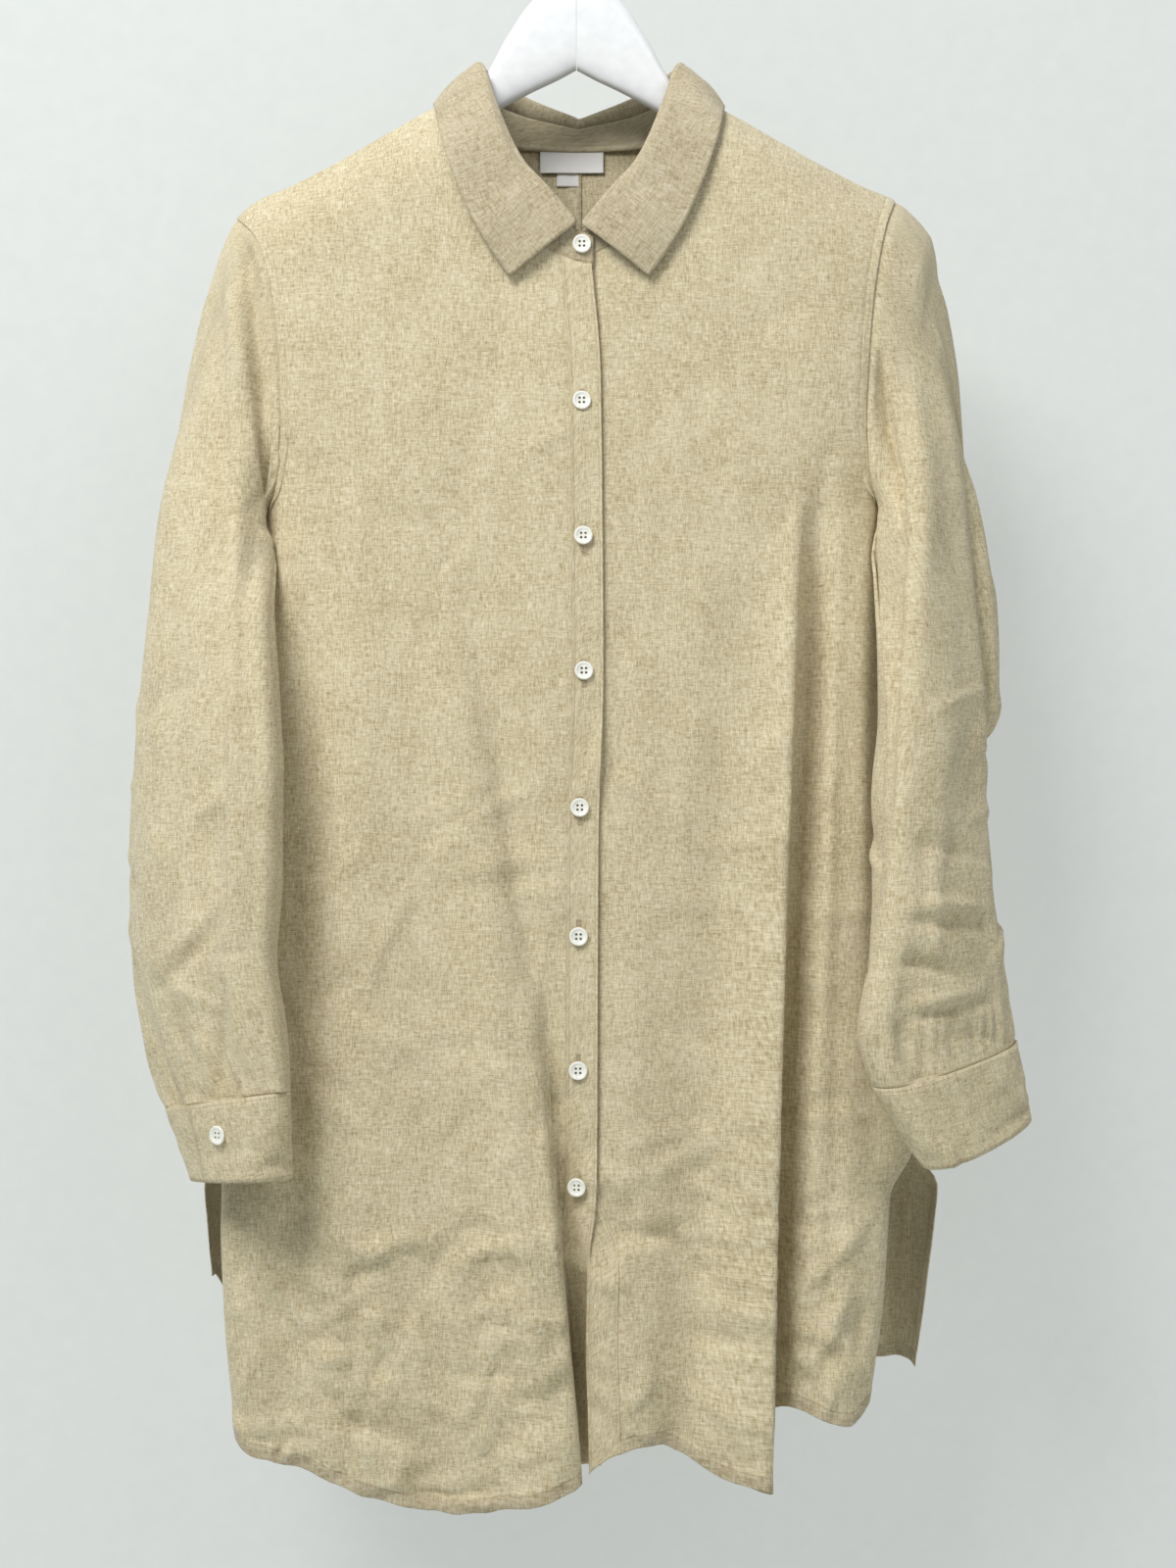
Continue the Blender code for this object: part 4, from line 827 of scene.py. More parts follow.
def bandGrid(layer, side, seamLine, edgeLine):
    rows = runs(*frontLook["rows"])
    rows = rows[rows <= cut["neckRow"] + 1e-6]
    z = middleHeights("front", side, seamLine, rows)[:, None]
    share = runs(*bandLook["columns"])[None, :]
    x = seamLine(z) + (edgeLine(z) - seamLine(z)) * share
    endsLow = read(hem["front" + side.capitalize()], "height", x[0]) - z[0]
    out = x[-1] if side == "left" else -x[-1]
    past = bandLook["topSlope"] * np.maximum(-out, 0)
    endsTop = read(neck["front"], "height", np.maximum(out, 0)) - past - z[-1]
    up = np.linspace(0, 1, len(z))[:, None]
    z = z + endsLow * np.clip(1 - 4 * up, 0, 1) + endsTop * np.clip(20 * up - 19, 0, 1)
    relief = reliefOf(frontLook, x, z) * smooth(1 - up, 0, .05)
    height, pitch, sharp = bandLook["pucker"]
    beside = np.exp(-(share * sharp) ** 2) + np.exp(-((1 - share) * sharp) ** 2)
    pucker = height * np.sin(z * 2 * np.pi / pitch) * beside
    grid = lapPoint(x, z, layer)
    way = unit(lapPoint(x, z, layer, .001) - grid)
    depth, reach = bandLook["groove"]
    for end in (share, 1 - share):
        relief = relief - groove(depth, end * cut["placket"], bandLook["stitchIn"], reach)
    gape, at, reach = bandLook["gape"]
    lift = smooth(share, .70, 1) * (bandLook["edgeLift"] + gape * bell((z - at) / reach)) * (side == "right")
    return grid + way * (relief + pucker + lift + bandLook["raise"] * smooth(share, 0, .06))[..., None], way


bands = {}
for side, layer, seamLine, edgeLine, swapped in (
    ("right", "over", lambda z: overSeam(z) + gap, overEdge, False),
    ("left", "under", lambda z: underSeam(z) - gap, underEdge, True),
):
    grid, way = bandGrid(layer, side, seamLine, edgeLine)
    bands[side] = grid, way
    piece = cloth("linen_band_" + side, grid, distances(grid), cut["doubled"], linen, swapped=swapped)
    finishPiece(piece, "placket_" + side)
print("front bands are in")

# Sleeves
sleeveLook = {
    "turns": ((0, .08, 16), (.08, .92, 100), (.92, 1, 16)), "head": ((0, .05, 8), (.05, 1, 46)), "down": 130,
    "fall": {"right": (.30, -.95), "left": (.75, -.65)}, "area": {"right": .120, "left": .112},
    # how far the cloth beside the armpit hangs behind the sleeve's front, and down to which ring
    "behind": {"right": (.019, .16), "left": (.023, .40)}, "behindAt": (.515, .125),
    "start": (.0012, .0006), "underarmFall": (.12, -.66, -.72), "panelShare": .35,
    # the seam turned in at the armhole: how far in and how far back, and the dip beside it with its reach
    "seamRows": ((.0015, .0060), (.0014, .0030), (.0011, .0008)), "seamDip": (.0011, .0035), "restFrom": .02,
    "intoCuff": ((1.004, .0009), (1.02, .0017), (1.07, .0018), (1.12, .0018)),  # ring, how far sunk
    # height, pitch, drift and its rate, place and reach along the sleeve
    "gathers": (.0013, .012, 1.7, 150, .945, .055),
    "crumpleArea": (0, .25, .19, .66), "calm": (.75, .5),  # how much flatter it lies against the body
    "waves": ((.060, .0013, 5.5), (.026, .0007, 8.8), (.012, .0003, 3.4)),
    # seen from the front: start, end, width, depth, bow, skew
    "creases": {
        "right": (
            ((-.2060, -.1950), (-.1850, -.4150), .0052, -.0100, .001, .5),
            ((-.2140, -.2000), (-.1950, -.4400), .0080, .0048, .001, .3),
            ((-.2250, -.2500), (-.2120, -.5200), .0120, .0020, .003, 0),
            ((-.2155, -.2250), (-.2030, -.6400), .0034, .0034, .005, .3),
            ((-.2240, -.2250), (-.2115, -.6400), .0085, -.0036, .005, 0),
            ((-.2409, -.6850), (-.2250, -.7500), .0030, -.0040, .001, .4),
            ((-.2062, -.6650), (-.2125, -.7480), .0026, -.0030, 0, .4),
            ((-.2190, -.6900), (-.2180, -.7500), .0040, .0018, 0, 0),
            ((-.2540, -.6650), (-.2060, -.6130), .0050, .0028, -.003, .4),
            ((-.2560, -.6800), (-.2080, -.6290), .0045, -.0026, -.003, 0),
            ((-.2040, -.5700), (-.1830, -.6900), .0050, .0028, -.003, -.5),
            ((-.2000, -.6100), (-.1790, -.7200), .0060, -.0022, -.003, 0),
            ((-.2480, -.4400), (-.2350, -.6000), .0100, -.0018, .004, 0),
            ((-.2300, -.5200), (-.2150, -.6100), .0090, -.0016, 0, 0),
        ),
        "left": (
            ((.1860, -.2850), (.1975, -.4200), .0048, -.0130, .001, -.5),
            ((.1965, -.3980), (.1830, -.5900), .0050, -.0210, -.001, -.5),
            ((.2060, -.2900), (.2070, -.4300), .0070, .0040, .001, 0),
            ((.2070, -.3900), (.1900, -.6300), .0070, .0045, -.002, .3),
            ((.2060, -.3700), (.1780, -.6500), .0045, .0022, .001, 0),
            ((.2200, -.3300), (.1860, -.7000), .0080, .0030, -.004, 0),
            ((.2370, -.3000), (.2620, -.6750), .0045, -.0062, .004, -.4),
            ((.2280, -.3000), (.2540, -.6750), .0055, .0028, .004, -.3),
            ((.1950, -.5870), (.2485, -.5996), .0040, -.0022, .002, .3),
            ((.1880, -.6330), (.2520, -.6370), .0055, -.0042, .001, .3),
            ((.1880, -.6240), (.2520, -.6270), .0050, .0026, .001, 0),
            ((.1830, -.6570), (.2330, -.6660), .0040, -.0032, .002, .3),
            ((.1930, -.6910), (.2530, -.6810), .0038, -.0036, .001, .3),
            ((.1880, -.6840), (.2500, -.6740), .0040, .0026, .001, 0),
            ((.1900, -.6550), (.2250, -.6700), .0040, -.0024, .002, .3),
            ((.2000, -.6800), (.2480, -.6900), .0040, .0022, .003, .3),
            ((.1800, -.6900), (.2100, -.7150), .0035, -.0022, 0, .3),
            ((.2150, -.7000), (.2550, -.7050), .0035, -.0020, .002, 0),
            ((.2050, -.6200), (.2450, -.6350), .0050, .0016, .003, 0),
        ),
    },
    "crumples": {"right": (50, 31, .0019), "left": (60, 32, .0026)},
}


def sleeveRing(side, down, turns, out=0.0):
    points, way = ringPoint(side, down, turns, out)
    depth, end = sleeveLook["behind"][side]
    at, reach = sleeveLook["behindAt"]
    points[..., 1] += depth * bell((turns - at) / reach) * smooth(end - down, 0, end * .9)
    return points, way


def sleeveGrid(side, head, downs, turns):
    look, sign = sleeveLook, -1.0 if side == "right" else 1.0
    start, panelWay, outwards = armholeLoop(side, turns)
    low = bell(2 * (turns - .5))[:, None]  # 1 at the underarm, 0 at the shoulder
    hang = look["fall"][side]
    underarm = np.multiply(look["underarmFall"], (sign, 1, 1))
    fall = (1 - low**2) * (sign * hang[0], 0, hang[1]) + low**2 * underarm
    way = unit(look["panelShare"] * (1 - low**2) * panelWay + unit(fall))
    start = start + way * look["start"][0] * low + panelWay * look["start"][1]
    first, normal = sleeveRing(side, np.zeros_like(turns), turns)
    later, _ = sleeveRing(side, np.full_like(turns, .08), turns)
    downWay = unit(later - first)
    length = np.linalg.norm(first - start, axis=-1, keepdims=True)
    rows = [start - outwards * inwards - panelWay * back for inwards, back in look["seamRows"]]
    dip, reach = look["seamDip"]
    for h in head:
        row = (start * (1 - h) ** 2 * (1 + 2 * h) + first * h**2 * (3 - 2 * h)
               + h * (1 - h) * length * (way * (1 - h) - downWay * h))
        row = row + normal * sleeveFold(side, np.full_like(turns, h - 1), turns)[:, None]
        row = row - outwards * dip * np.exp(-(h * length / reach) ** 2)
        space = cut["rest"] * np.clip(h * length[:, 0] / look["restFrom"], 0, 1)
        rows.append(row if h == 0 else offBody(row, side, space))
    for down in downs:
        ring = np.full_like(turns, down)
        row = sleeveRing(side, ring, turns, sleeveFold(side, ring, turns))[0]
        rows.append(offBody(row, side, cut["rest"]))
    for down, sunk in look["intoCuff"]:
        row = ringPoint(side, np.full_like(turns, down), turns, np.full_like(turns, -sunk))[0]
        rows.append(offBody(row, side, cut["rest"] - sunk))
    return np.array(rows)


def sleeveThreads(grid, turns, cap):
    # the cap's threads keep upright and level, like the sleeve's below it
    threads = distances(grid)
    threads[..., 1] = threads[:, 30:31, 1]
    facing = np.clip(3 * np.sin(2 * np.pi * turns), -1, 1)
    threads[:cap, :, 0] = threads[cap, :, 0] + facing * (np.abs(grid[cap, :, 0]) - np.abs(grid[:cap, :, 0]))
    threads[:cap, :, 1] = threads[cap, :, 1] + grid[cap, :, 2] - grid[:cap, :, 2]
    return threads


def sleeveRelief(side, grid, threads, turns):
    look, (across, along) = sleeveLook, np.moveaxis(threads, -1, 0)
    x, z = grid[..., 0], grid[..., 2]
    forward = smooth(np.sin(2 * np.pi * turns), -.1, .35)[None, :]
    relief = sum(ripples(across, along, *wave) for wave in look["waves"])
    for start, end, width, depth, bow, skew in look["creases"][side]:
        relief += crease(x, z, start, end, width, depth, bow, skew) * forward
    count, seed, depth = look["crumples"][side]
    relief += crumples(across, along, look["crumpleArea"], count, seed, depth=depth)
    v = np.linspace(0, 1, len(grid))[:, None]
    height, pitch, drift, often, at, reach = look["gathers"]
    drawn = height * np.sin(2 * np.pi * across / pitch + drift * np.sin(across * often))
    relief += drawn * bell((v - at) / reach)
    inner = smooth(np.cos(2 * np.pi * (turns - .5)), .55, .95)[None, :]  # it rests on the body there
    ridges, troughs = look["calm"]
    held = np.where(relief > 0, 1 - ridges * inner, 1 - troughs * inner)
    return relief * (smooth(v, .02, .07) * smooth(1 - v, .022, .045) * held)


for side, outwards in (("right", -1), ("left", 1)):
    turns = runs(*sleeveLook["turns"])[:-1]
    head, downs = runs(*sleeveLook["head"])[:-1], np.linspace(0, .9992, sleeveLook["down"])
    grid = sleeveGrid(side, head, downs, turns)
    way = normals(grid, ring=True)
    if (way[60, :, 0] * np.cos(2 * np.pi * turns)).sum() * outwards < 0:
        way = -way
    threads = sleeveThreads(grid, turns, len(head) + len(sleeveLook["seamRows"]))
    grid = grid + way * sleeveRelief(side, grid, threads, turns)[..., None]
    piece = cloth("linen_sleeve_" + side, grid, threads, cut["cloth"], linen, True, side == "left")
    finishPiece(piece, "sleeve_" + side)
print("sleeves are in")

# Cuffs
cuffLook = {
    "upperEnd": {"right": .235, "left": .90}, "overlap": .09, "step": .0021, "stepFade": (.30, .7),
    "rows": 18, "columns": 150, "top": 1.006, "thick": .0014, "around": .17, "tall": .042,
    "wave": (.022, .0011, 6.1), "crumpleArea": (0, .040, .185, .086),
    # how many, seed, length, width, depth
    "crumples": (44, 61, (.012, .045), (.0018, .0042), .0011),
    # ring and place round the cuff of its button, of a point beside it and of one above
    "button": ((1.30, .055), (1.30, .075), (1.20, .055)),
}
cuffs = {}


def cuffPoint(side, down, lapped, out=0.0):
    fade, power = cuffLook["stepFade"]
    rise = cuffLook["step"] * np.clip(1 - lapped / fade, 0, 1) ** power
    return ringPoint(side, down, (cuffLook["upperEnd"][side] + lapped) % 1, rise + out)[0]


for side in ("right", "left"):
    down, lapped = np.meshgrid(np.linspace(cuffLook["top"], 2, cuffLook["rows"]),
                               np.linspace(0, 1 + cuffLook["overlap"], cuffLook["columns"]), indexing="ij")
    across, along = lapped * cuffLook["around"], down * cuffLook["tall"]
    relief = ripples(across, along, *cuffLook["wave"])
    relief += crumples(across, along, cuffLook["crumpleArea"], *cuffLook["crumples"])
    relief = relief * smooth(down, 1.0, 1.12)
    grid = offBody(cuffPoint(side, down, lapped, relief), side, cut["rest"])
    way = unit(cuffPoint(side, down, lapped, .001) - cuffPoint(side, down, lapped))
    cuffs[side] = grid, way
    threads = distances(grid)
    piece = cloth("linen_cuff_" + side, grid, threads, cuffLook["thick"], linen, swapped=side == "right")
    finishPiece(piece, "cuff_" + side)
print("cuffs are in")

# Collar
collarLook = {
    "middle": .002, "standLap": .0105, "roll": .0026, "clear": .0050, "bow": .0020,
    "steps": ((0, 5, 60), (5, 6, 14), (6, 8, 26)), "turn": 14, "fall": 22, "rounding": (5, 7, .7),
    "stand": {"off": .0006, "short": .012, "thick": .0014, "lapSteps": 7, "footSlope": (.15, .10),
              "headSlope": .45},
    # the stand's foot, turned in at the neck: how far in and how far down
    "footRows": ((.0017, .0040), (.0015, .0012)),
    "fallThick": .0013, "waves": ((.040, .0009, 2.6), (.016, .0003, 4.6)), "stitchIn": .0045,
}


def collarLines(half):
    # neck seam, fold, free edge and the stand's share, from the right front round to the left one
    pastShoulder, wide, reach = collarLook["rounding"]
    parts = []
    for sign, layer, order in ((-1.0, "over", 1), (1.0, "under", -1)):
        at = {name: read(collar, name, half) for name in collar}
        front = half <= pastShoulder
        neckX, rimX = sign * at["neckX"], sign * at["rimX"] + collarLook["middle"]
        seam, rim = np.empty((len(half), 3)), np.empty((len(half), 3))
        for face, mine in (("front", front), ("back", ~front)):
            seam[mine] = bodyPoint(face, neckX, read(neck[face], "height", np.abs(neckX)))[mine]
            rim[mine] = bodyPoint(face, rimX, at["rimZ"], collarLook["clear"])[mine]
        padded = np.pad(rim[:, 1], wide // 2, mode="edge")
        rounded = np.convolve(padded, np.full(wide, 1 / wide), mode="valid")
        rim[:, 1] += (rounded - rim[:, 1]) * bell((half - pastShoulder) / reach)
        fold = np.stack([sign * at["foldX"] + collarLook["middle"], at["foldY"], at["foldZ"]], axis=-1)
        for line, x in ((seam, neckX), (fold, fold[:, 0]), (rim, rimX)):
            line[:, 1] += np.where(front, lapOffset(x, line[:, 2], layer), 0)
        parts.append([line[::order] for line in (seam, fold, rim, at["share"][:, None])])
    joined = [np.concatenate([a, b[1:]]) for a, b in zip(*parts)]
    for line in joined[:3]:
        line[len(half) - 1, 0] = collarLook["middle"] / 2
    return joined


def offShirt(points, space):
    for face, sign in (("front", -1.0), ("back", 1.0)):
        under = bodyPoint(face, points[..., 0], points[..., 2])[..., 1] * sign
        near = (points[..., 1] * sign > 0) & (under > .004) & (points[..., 1] * sign < under + space)
        points[..., 1] = np.where(near, sign * (under + space), points[..., 1])
    return points


def standParts(seam, fold, share, up, out):
    stand, wide = collarLook["stand"], collarLook["standLap"]
    foot = seam + up * (cut["seam"] + stand["off"])
    head = seam + (fold - seam) * (share - stand["short"])
    ends = np.linspace(0, 1, stand["lapSteps"] + 1)[1:, None] * wide
    (right, left), slope = stand["footSlope"], stand["headSlope"]
    foot = np.concatenate([(foot[0] + ends * (1, 0, -right))[::-1], foot, foot[-1] + ends * (-1, 0, -left)])
    head = np.concatenate([(head[0] + ends * (1, 0, -slope))[::-1], head, head[-1] + ends * (-1, 0, -slope)])
    lapped = stand["lapSteps"], 1
    ahead = np.concatenate([np.tile(out[:1], lapped), out, np.tile(out[-1:], lapped)])
    rise = unit(head - foot)
    turnedIn = [foot - ahead * inwards - rise * below for inwards, below in collarLook["footRows"]]
    return np.concatenate([turnedIn, np.linspace(foot, head, 12)])


def fallRows(seam, fold, rim, share, up, out):
    roll = collarLook["roll"]
    top = fold - up * roll
    rows = [seam + (fold - seam) * share]
    for angle in np.linspace(0, math.pi, collarLook["turn"]):
        rows.append(top + out * roll * (1 - math.cos(angle)) + up * roll * math.sin(angle))
    low = rows[-1]
    for s in np.linspace(0, 1, collarLook["fall"])[1:]:
        row = low + (rim - low) * s + out * collarLook["bow"] * math.sin(math.pi * s)
        rows.append(offShirt(row, collarLook["clear"]))
    return np.array(rows), low


half = runs(*collarLook["steps"])
seam, fold, rim, share = collarLines(half)
up = unit(fold - seam)
around = unit(np.gradient(fold, axis=0))
out = unit(np.cross(up, around))
standGrid = standParts(seam, fold, share, up, out)
# the stand wears the linen with painted shade
piece = cloth("linen_stand", standGrid, distances(standGrid), collarLook["stand"]["thick"], linenDoubledPaintedShade)
finishPiece(piece, "collar_stand")

fallGrid, low = fallRows(seam, fold, rim, share, up, out)
fallWay = normals(fallGrid)
places = distances(fallGrid)
relief = sum(ripples(places[..., 0], places[..., 1], *wave) for wave in collarLook["waves"])
fallGrid = fallGrid + fallWay * (relief * smooth(np.arange(len(fallGrid)), 10, 24)[:, None])[..., None]
threads, along = distances(fallGrid), unit(np.gradient(low, axis=0))
shear = ((fallGrid - low) * along).sum(axis=-1)
threads[..., 0] = threads[collarLook["turn"], :, 0] + shear
threads[..., 1] = np.sqrt(np.maximum(threads[..., 1]**2 - shear**2, 0))
# the fall wears the linen with painted shade
piece = cloth("linen_fall", fallGrid, threads, collarLook["fallThick"], linenDoubledPaintedShade)
finishPiece(piece, "collar_fall")
print("collar is in")

# Sewing
threadLook = {
    "color": (.50, .395, .255), "roughness": .7, "sheen": .2,
    "pitch": .0028, "length": .0021, "thick": .00034,
    # from the edge, and how high on the cloth
    "hem": (.0078, .0005), "armhole": (.0055, .0004), "vent": (.0072, .0004), "band": (.0018, .0007),
    "cuff": (.0022, .0008), "collar": (collarLook["stitchIn"], .0007),
}
thread, shader = newMaterial("sewingThread", threadLook["color"], threadLook["roughness"])[:2]
shader.inputs["Sheen Weight"].default_value = threadLook["sheen"]


def gridLine(grid, way, line, column=None, row=None):
    # stitches along one edge of a grid
    inset, lift = threadLook[line]
    first = (column if row is None else row) == 0
    order, ways = (points if row is not None else np.swapaxes(points, 0, 1) for points in (grid, way))
    if not first:
        order, ways = order[::-1], ways[::-1]
    gone = np.cumsum(np.linalg.norm(np.diff(order, axis=0, prepend=order[:1]), axis=-1), axis=0)
    points, outs = [], []
    for j in range(order.shape[1]):
        at = int(np.clip(np.searchsorted(gone[:, j], inset), 1, len(order) - 1))
        t = np.clip((inset - gone[at - 1, j]) / max(gone[at, j] - gone[at - 1, j], 1e-9), 0, 1)
        points.append(order[at - 1, j] * (1 - t) + order[at, j] * t)
        outs.append(ways[at, j])
    outs = unit(np.asarray(outs))
    return stitchRow(np.asarray(points) + outs * lift, outs, threadLook["pitch"], threadLook["length"],
                     threadLook["thick"])


arm = int(np.searchsorted(runs(*frontLook["rows"]), cut["underarmRow"]))
for side in ("right", "left"):
    for face in ("front", "back"):
        grid, way = panels[face, side]
        threads = gridLine(grid, way, "hem", row=0)
        if face == "front":
            threads += gridLine(grid[arm:], way[arm:], "armhole", column=0)
        vent = grid[:, 0, 2] < cut["ventTop"]
        threads += gridLine(grid[vent], way[vent], "vent", column=0)
        sewn(f"{face}_{side}_stitching", threads, thread)
    grid, way = bands[side]
    threads = gridLine(grid, way, "band", column=0) + gridLine(grid, way, "band", column=-1)
    sewn(f"placket_{side}_stitching", threads, thread)
    grid, way = cuffs[side]
    threads = gridLine(grid, way, "cuff", row=0) + gridLine(grid, way, "cuff", row=-1)
    sewn(f"cuff_{side}_stitching", threads + gridLine(grid, way, "cuff", column=0), thread)
threads = gridLine(fallGrid, fallWay, "collar", row=-1)
for column in (0, -1):
    threads += gridLine(fallGrid[12:], fallWay[12:], "collar", column=column)
sewn("collar_fall_stitching", threads, thread)
print("stitching is in")

# Buttons
buttonLook = {
    "radius": .0057, "seat": .0004, "heights": (-.3194, -.4015, -.4834, -.5662, -.6440, -.7247, -.7950),
    "inset": .0118, "stand": (.0035, -.2240), "standOverlap": -.23, "cloth": .0012, "doubled": .0015,
    "holes": .001332, "holeSize": .00078, "sides": 56, "sharp": 40,
    "color": (.88, .875, .80), "roughness": .28, "coat": .3,
    "tones": ((.35, (.84, .835, .75)), (.65, (.94, .94, .87))),
    # the thread in the holes is dark: painted shade in the holes
    "threadShadeColor": (.17, .135, .075), "threadRoughness": .9,
    "threadUp": .0004, "threadSize": (.00035, .00066),  # how high on the button, half its height and width
    # share of the radius, height off the back
    "profile": ((0, 0), (.86, 0), (.95, .0003), (1, .0009), (.985, .0015), (.93, .0019), (.84, .0020),
                (.74, .0018), (.64, .0014), (.50, .00125), (.25, .0012), (0, .0012)),
    "drill": ((0, -.001), (1, -.001), (1, .003), (0, .003)), "drillSides": 16,
}
shell, shader, nodes, links = newMaterial("buttonShell", buttonLook["color"], buttonLook["roughness"])
shader.inputs["Coat Weight"].default_value = buttonLook["coat"]
clouded(shader, nodes, links, (1, 1, 1), 320, 3, buttonLook["tones"])
buttonThreadHoleShade = newMaterial("buttonThreadHoleShade", buttonLook["threadShadeColor"], buttonLook["threadRoughness"])[0]
fourHoles = [(a, b) for a in (-1, 1) for b in (-1, 1)]


def turned(name, profile, radius, sides):
    shape = bmesh.new()
    points = [shape.verts.new((share * radius, 0, height)) for share, height in profile]
    edges = [shape.edges.new(pair) for pair in zip(points, points[1:])]
    bmesh.ops.spin(shape, geom=points + edges, axis=(0, 0, 1), cent=(0, 0, 0), angle=2 * math.pi, steps=sides,
                   use_merge=True)
    bmesh.ops.remove_doubles(shape, verts=shape.verts, dist=1e-6)
    bmesh.ops.recalc_face_normals(shape, faces=shape.faces)
    mesh = bpy.data.meshes.new(name)
    shape.to_mesh(mesh)
    shape.free()
    return mesh


def buttonMesh():
    look = buttonLook
    blank = putIn("button blank", turned("button", look["profile"], look["radius"], look["sides"]))
    drills = []
    for a, b in fourHoles:
        drill = putIn("drill", turned("drill", look["drill"], look["holeSize"], look["drillSides"]))
        drill.location = (a * look["holes"], b * look["holes"], 0)
        drills.append(drill)
        hole = blank.modifiers.new("hole", "BOOLEAN")
        hole.object, hole.solver = drill, "EXACT"
    bpy.context.view_layer.update()
    mesh = bpy.data.meshes.new_from_object(blank.evaluated_get(bpy.context.evaluated_depsgraph_get()))
    for thing in [blank, *drills]:
        bpy.data.objects.remove(thing)
    mesh.name = "button"
    mesh.materials.clear()
    mesh.materials.append(shell)
    mesh.shade_smooth()
    mesh.set_sharp_from_angle(angle=math.radians(look["sharp"]))
    return mesh


buttonShape = buttonMesh()


def seatButton(name, here, across, above, thick):
    # flat on the cloth, given a point of it and ones beside it and above
    here = Vector(here)
    out = (Vector(across) - here).cross(Vector(above) - here).normalized()
    side = (Vector(across) - here).normalized()
    button = putIn("shell_" + name, buttonShape.copy())
    button.rotation_mode = "QUATERNION"
    button.rotation_quaternion = out.to_track_quat("Z", "Y")
    button.location = here + out * (thick / 2 + buttonLook["seat"])
    standFor(button, name)
    # the thread that comes up through each hole, dark as painted shade in the holes
    spot, reach = np.array(button.location + out * buttonLook["threadUp"]), buttonLook["holes"]
    side, out = np.array(side), np.array(out)
    other, (tall, wide) = np.cross(out, side), buttonLook["threadSize"]
    ends = [(spot + (side * a + other * b) * reach, out * tall, side * wide, other * wide)
            for a, b in fourHoles]
    sewn(name + "_thread_hole_shade", ends, buttonThreadHoleShade)


def standFront():
    # how far forward the stand's overlapping end lies
    neckFront = lapPoint(0.0, float(read(neck["front"], "height", 0.0)), "over")[1]
    return min(neckFront, collar["foldY"][0] + float(read(lap, "overBack", buttonLook["standOverlap"])))


slitLook = {
    "above": .0065, "below": .0098, "turnsAt": 6,  # of the button, and the other way round from this one on
    "points": 30, "lift": .0013, "half": .0009, "pitch": .0004, "length": .0014,
    "barHalf": .0017, "barPoints": 8, "barPitch": .0005, "barLength": .0012, "thick": .00036,
}
step = .004  # to the points beside and above that give a button its lie
bandLift = np.array((0, -bandLook["raise"], 0))
slits = []
for number, z in enumerate(buttonLook["heights"], start=2):
    x = float(overEdge(z)) - buttonLook["inset"]
    here, across, above = (lapPoint(x + dx, z + dz, "over") + bandLift
                           for dx, dz in ((0, 0), (step, 0), (0, step)))
    seatButton(f"button_{number}", here, across, above, buttonLook["cloth"])
    top, bottom = z + slitLook["above"], z - slitLook["below"]
    if number >= slitLook["turnsAt"]:
        top, bottom = z + slitLook["below"], z - slitLook["above"]
    line = np.linspace(top, bottom, slitLook["points"])
    slits.append(lapPoint(np.full(slitLook["points"], x), line, "over", slitLook["lift"]))
here = np.array((buttonLook["stand"][0], standFront(), buttonLook["stand"][1]))
seatButton("button_1", here, here + (step, 0, 0), here + (0, 0, step), buttonLook["doubled"])
for side in ("right", "left"):
    here, across, above = (cuffPoint(side, np.array(down), np.array(at)) for down, at in cuffLook["button"])
    if side == "left":
        across = 2 * here - across
    seatButton(f"cuff_button_{side}", here, across, above, buttonLook["doubled"])
print("buttons are in")

# Buttonholes: close threads across a slit, with a bar at each end
threads = []
for line in slits:
    rows = [(line + (shift, 0, 0), slitLook["pitch"], slitLook["length"])
            for shift in (-slitLook["half"], slitLook["half"])]
    for end in (line[0], line[-2]):
        out = np.array((slitLook["barHalf"], 0, 0))
        rows.append((np.linspace(end - out, end + out, slitLook["barPoints"]), slitLook["barPitch"],
                     slitLook["barLength"]))
    for points, pitch, length in rows:
        ways = np.tile((0, -1.0, 0), (len(points), 1))
        threads += stitchRow(points, ways, pitch, length, slitLook["thick"], sideways=True)
sewn("buttonholes", threads, thread)

# Labels, blank
labelLook = {
    "color": (.90, .89, .85), "roughness": .55, "tones": ((.3, (.86, .85, .81)), (.7, (.93, .92, .885))),
    "threads": (900, 5200, 1), "bump": .0002, "wave": (.0003, 2.2),
    # left, right, top, bottom, how far off the back, how far it curls, thickness
    "labels": {
        "neck_label": (-.0235, .0172, -.1478, -.1612, .0024, .0004, .0004),
        "size_label": (-.0128, .0030, -.1500, -.1695, .0011, .0003, .0005),
    },
}
tape, shader, nodes, links = newMaterial("labelTape", labelLook["color"], labelLook["roughness"])
weave = nodes.new("ShaderNodeUVMap")
weave.uv_map = "threads"
fine = noiseNode(nodes, links, weave.outputs[0], labelLook["threads"], 1, 2)
links.new(ramp(nodes, links, fine, labelLook["tones"]), shader.inputs["Base Color"])
bumped(shader, nodes, links, fine, labelLook["bump"])
for name, (left, right, top, bottom, off, curl, thick) in labelLook["labels"].items():
    x, z = np.meshgrid(np.linspace(left, right, 40), np.linspace(top, bottom, 20))
    share = (z - top) / (bottom - top)
    height, waves = labelLook["wave"]
    lift = curl * share**2 + height * np.sin((x - left) / (right - left) * np.pi * waves) * share
    grid = bodyPoint("back", x, z, -off - lift)
    piece = cloth("tape_" + name, grid, distances(grid), thick, tape, swapped=True)
    finishPiece(piece, name)
print("labels are in")

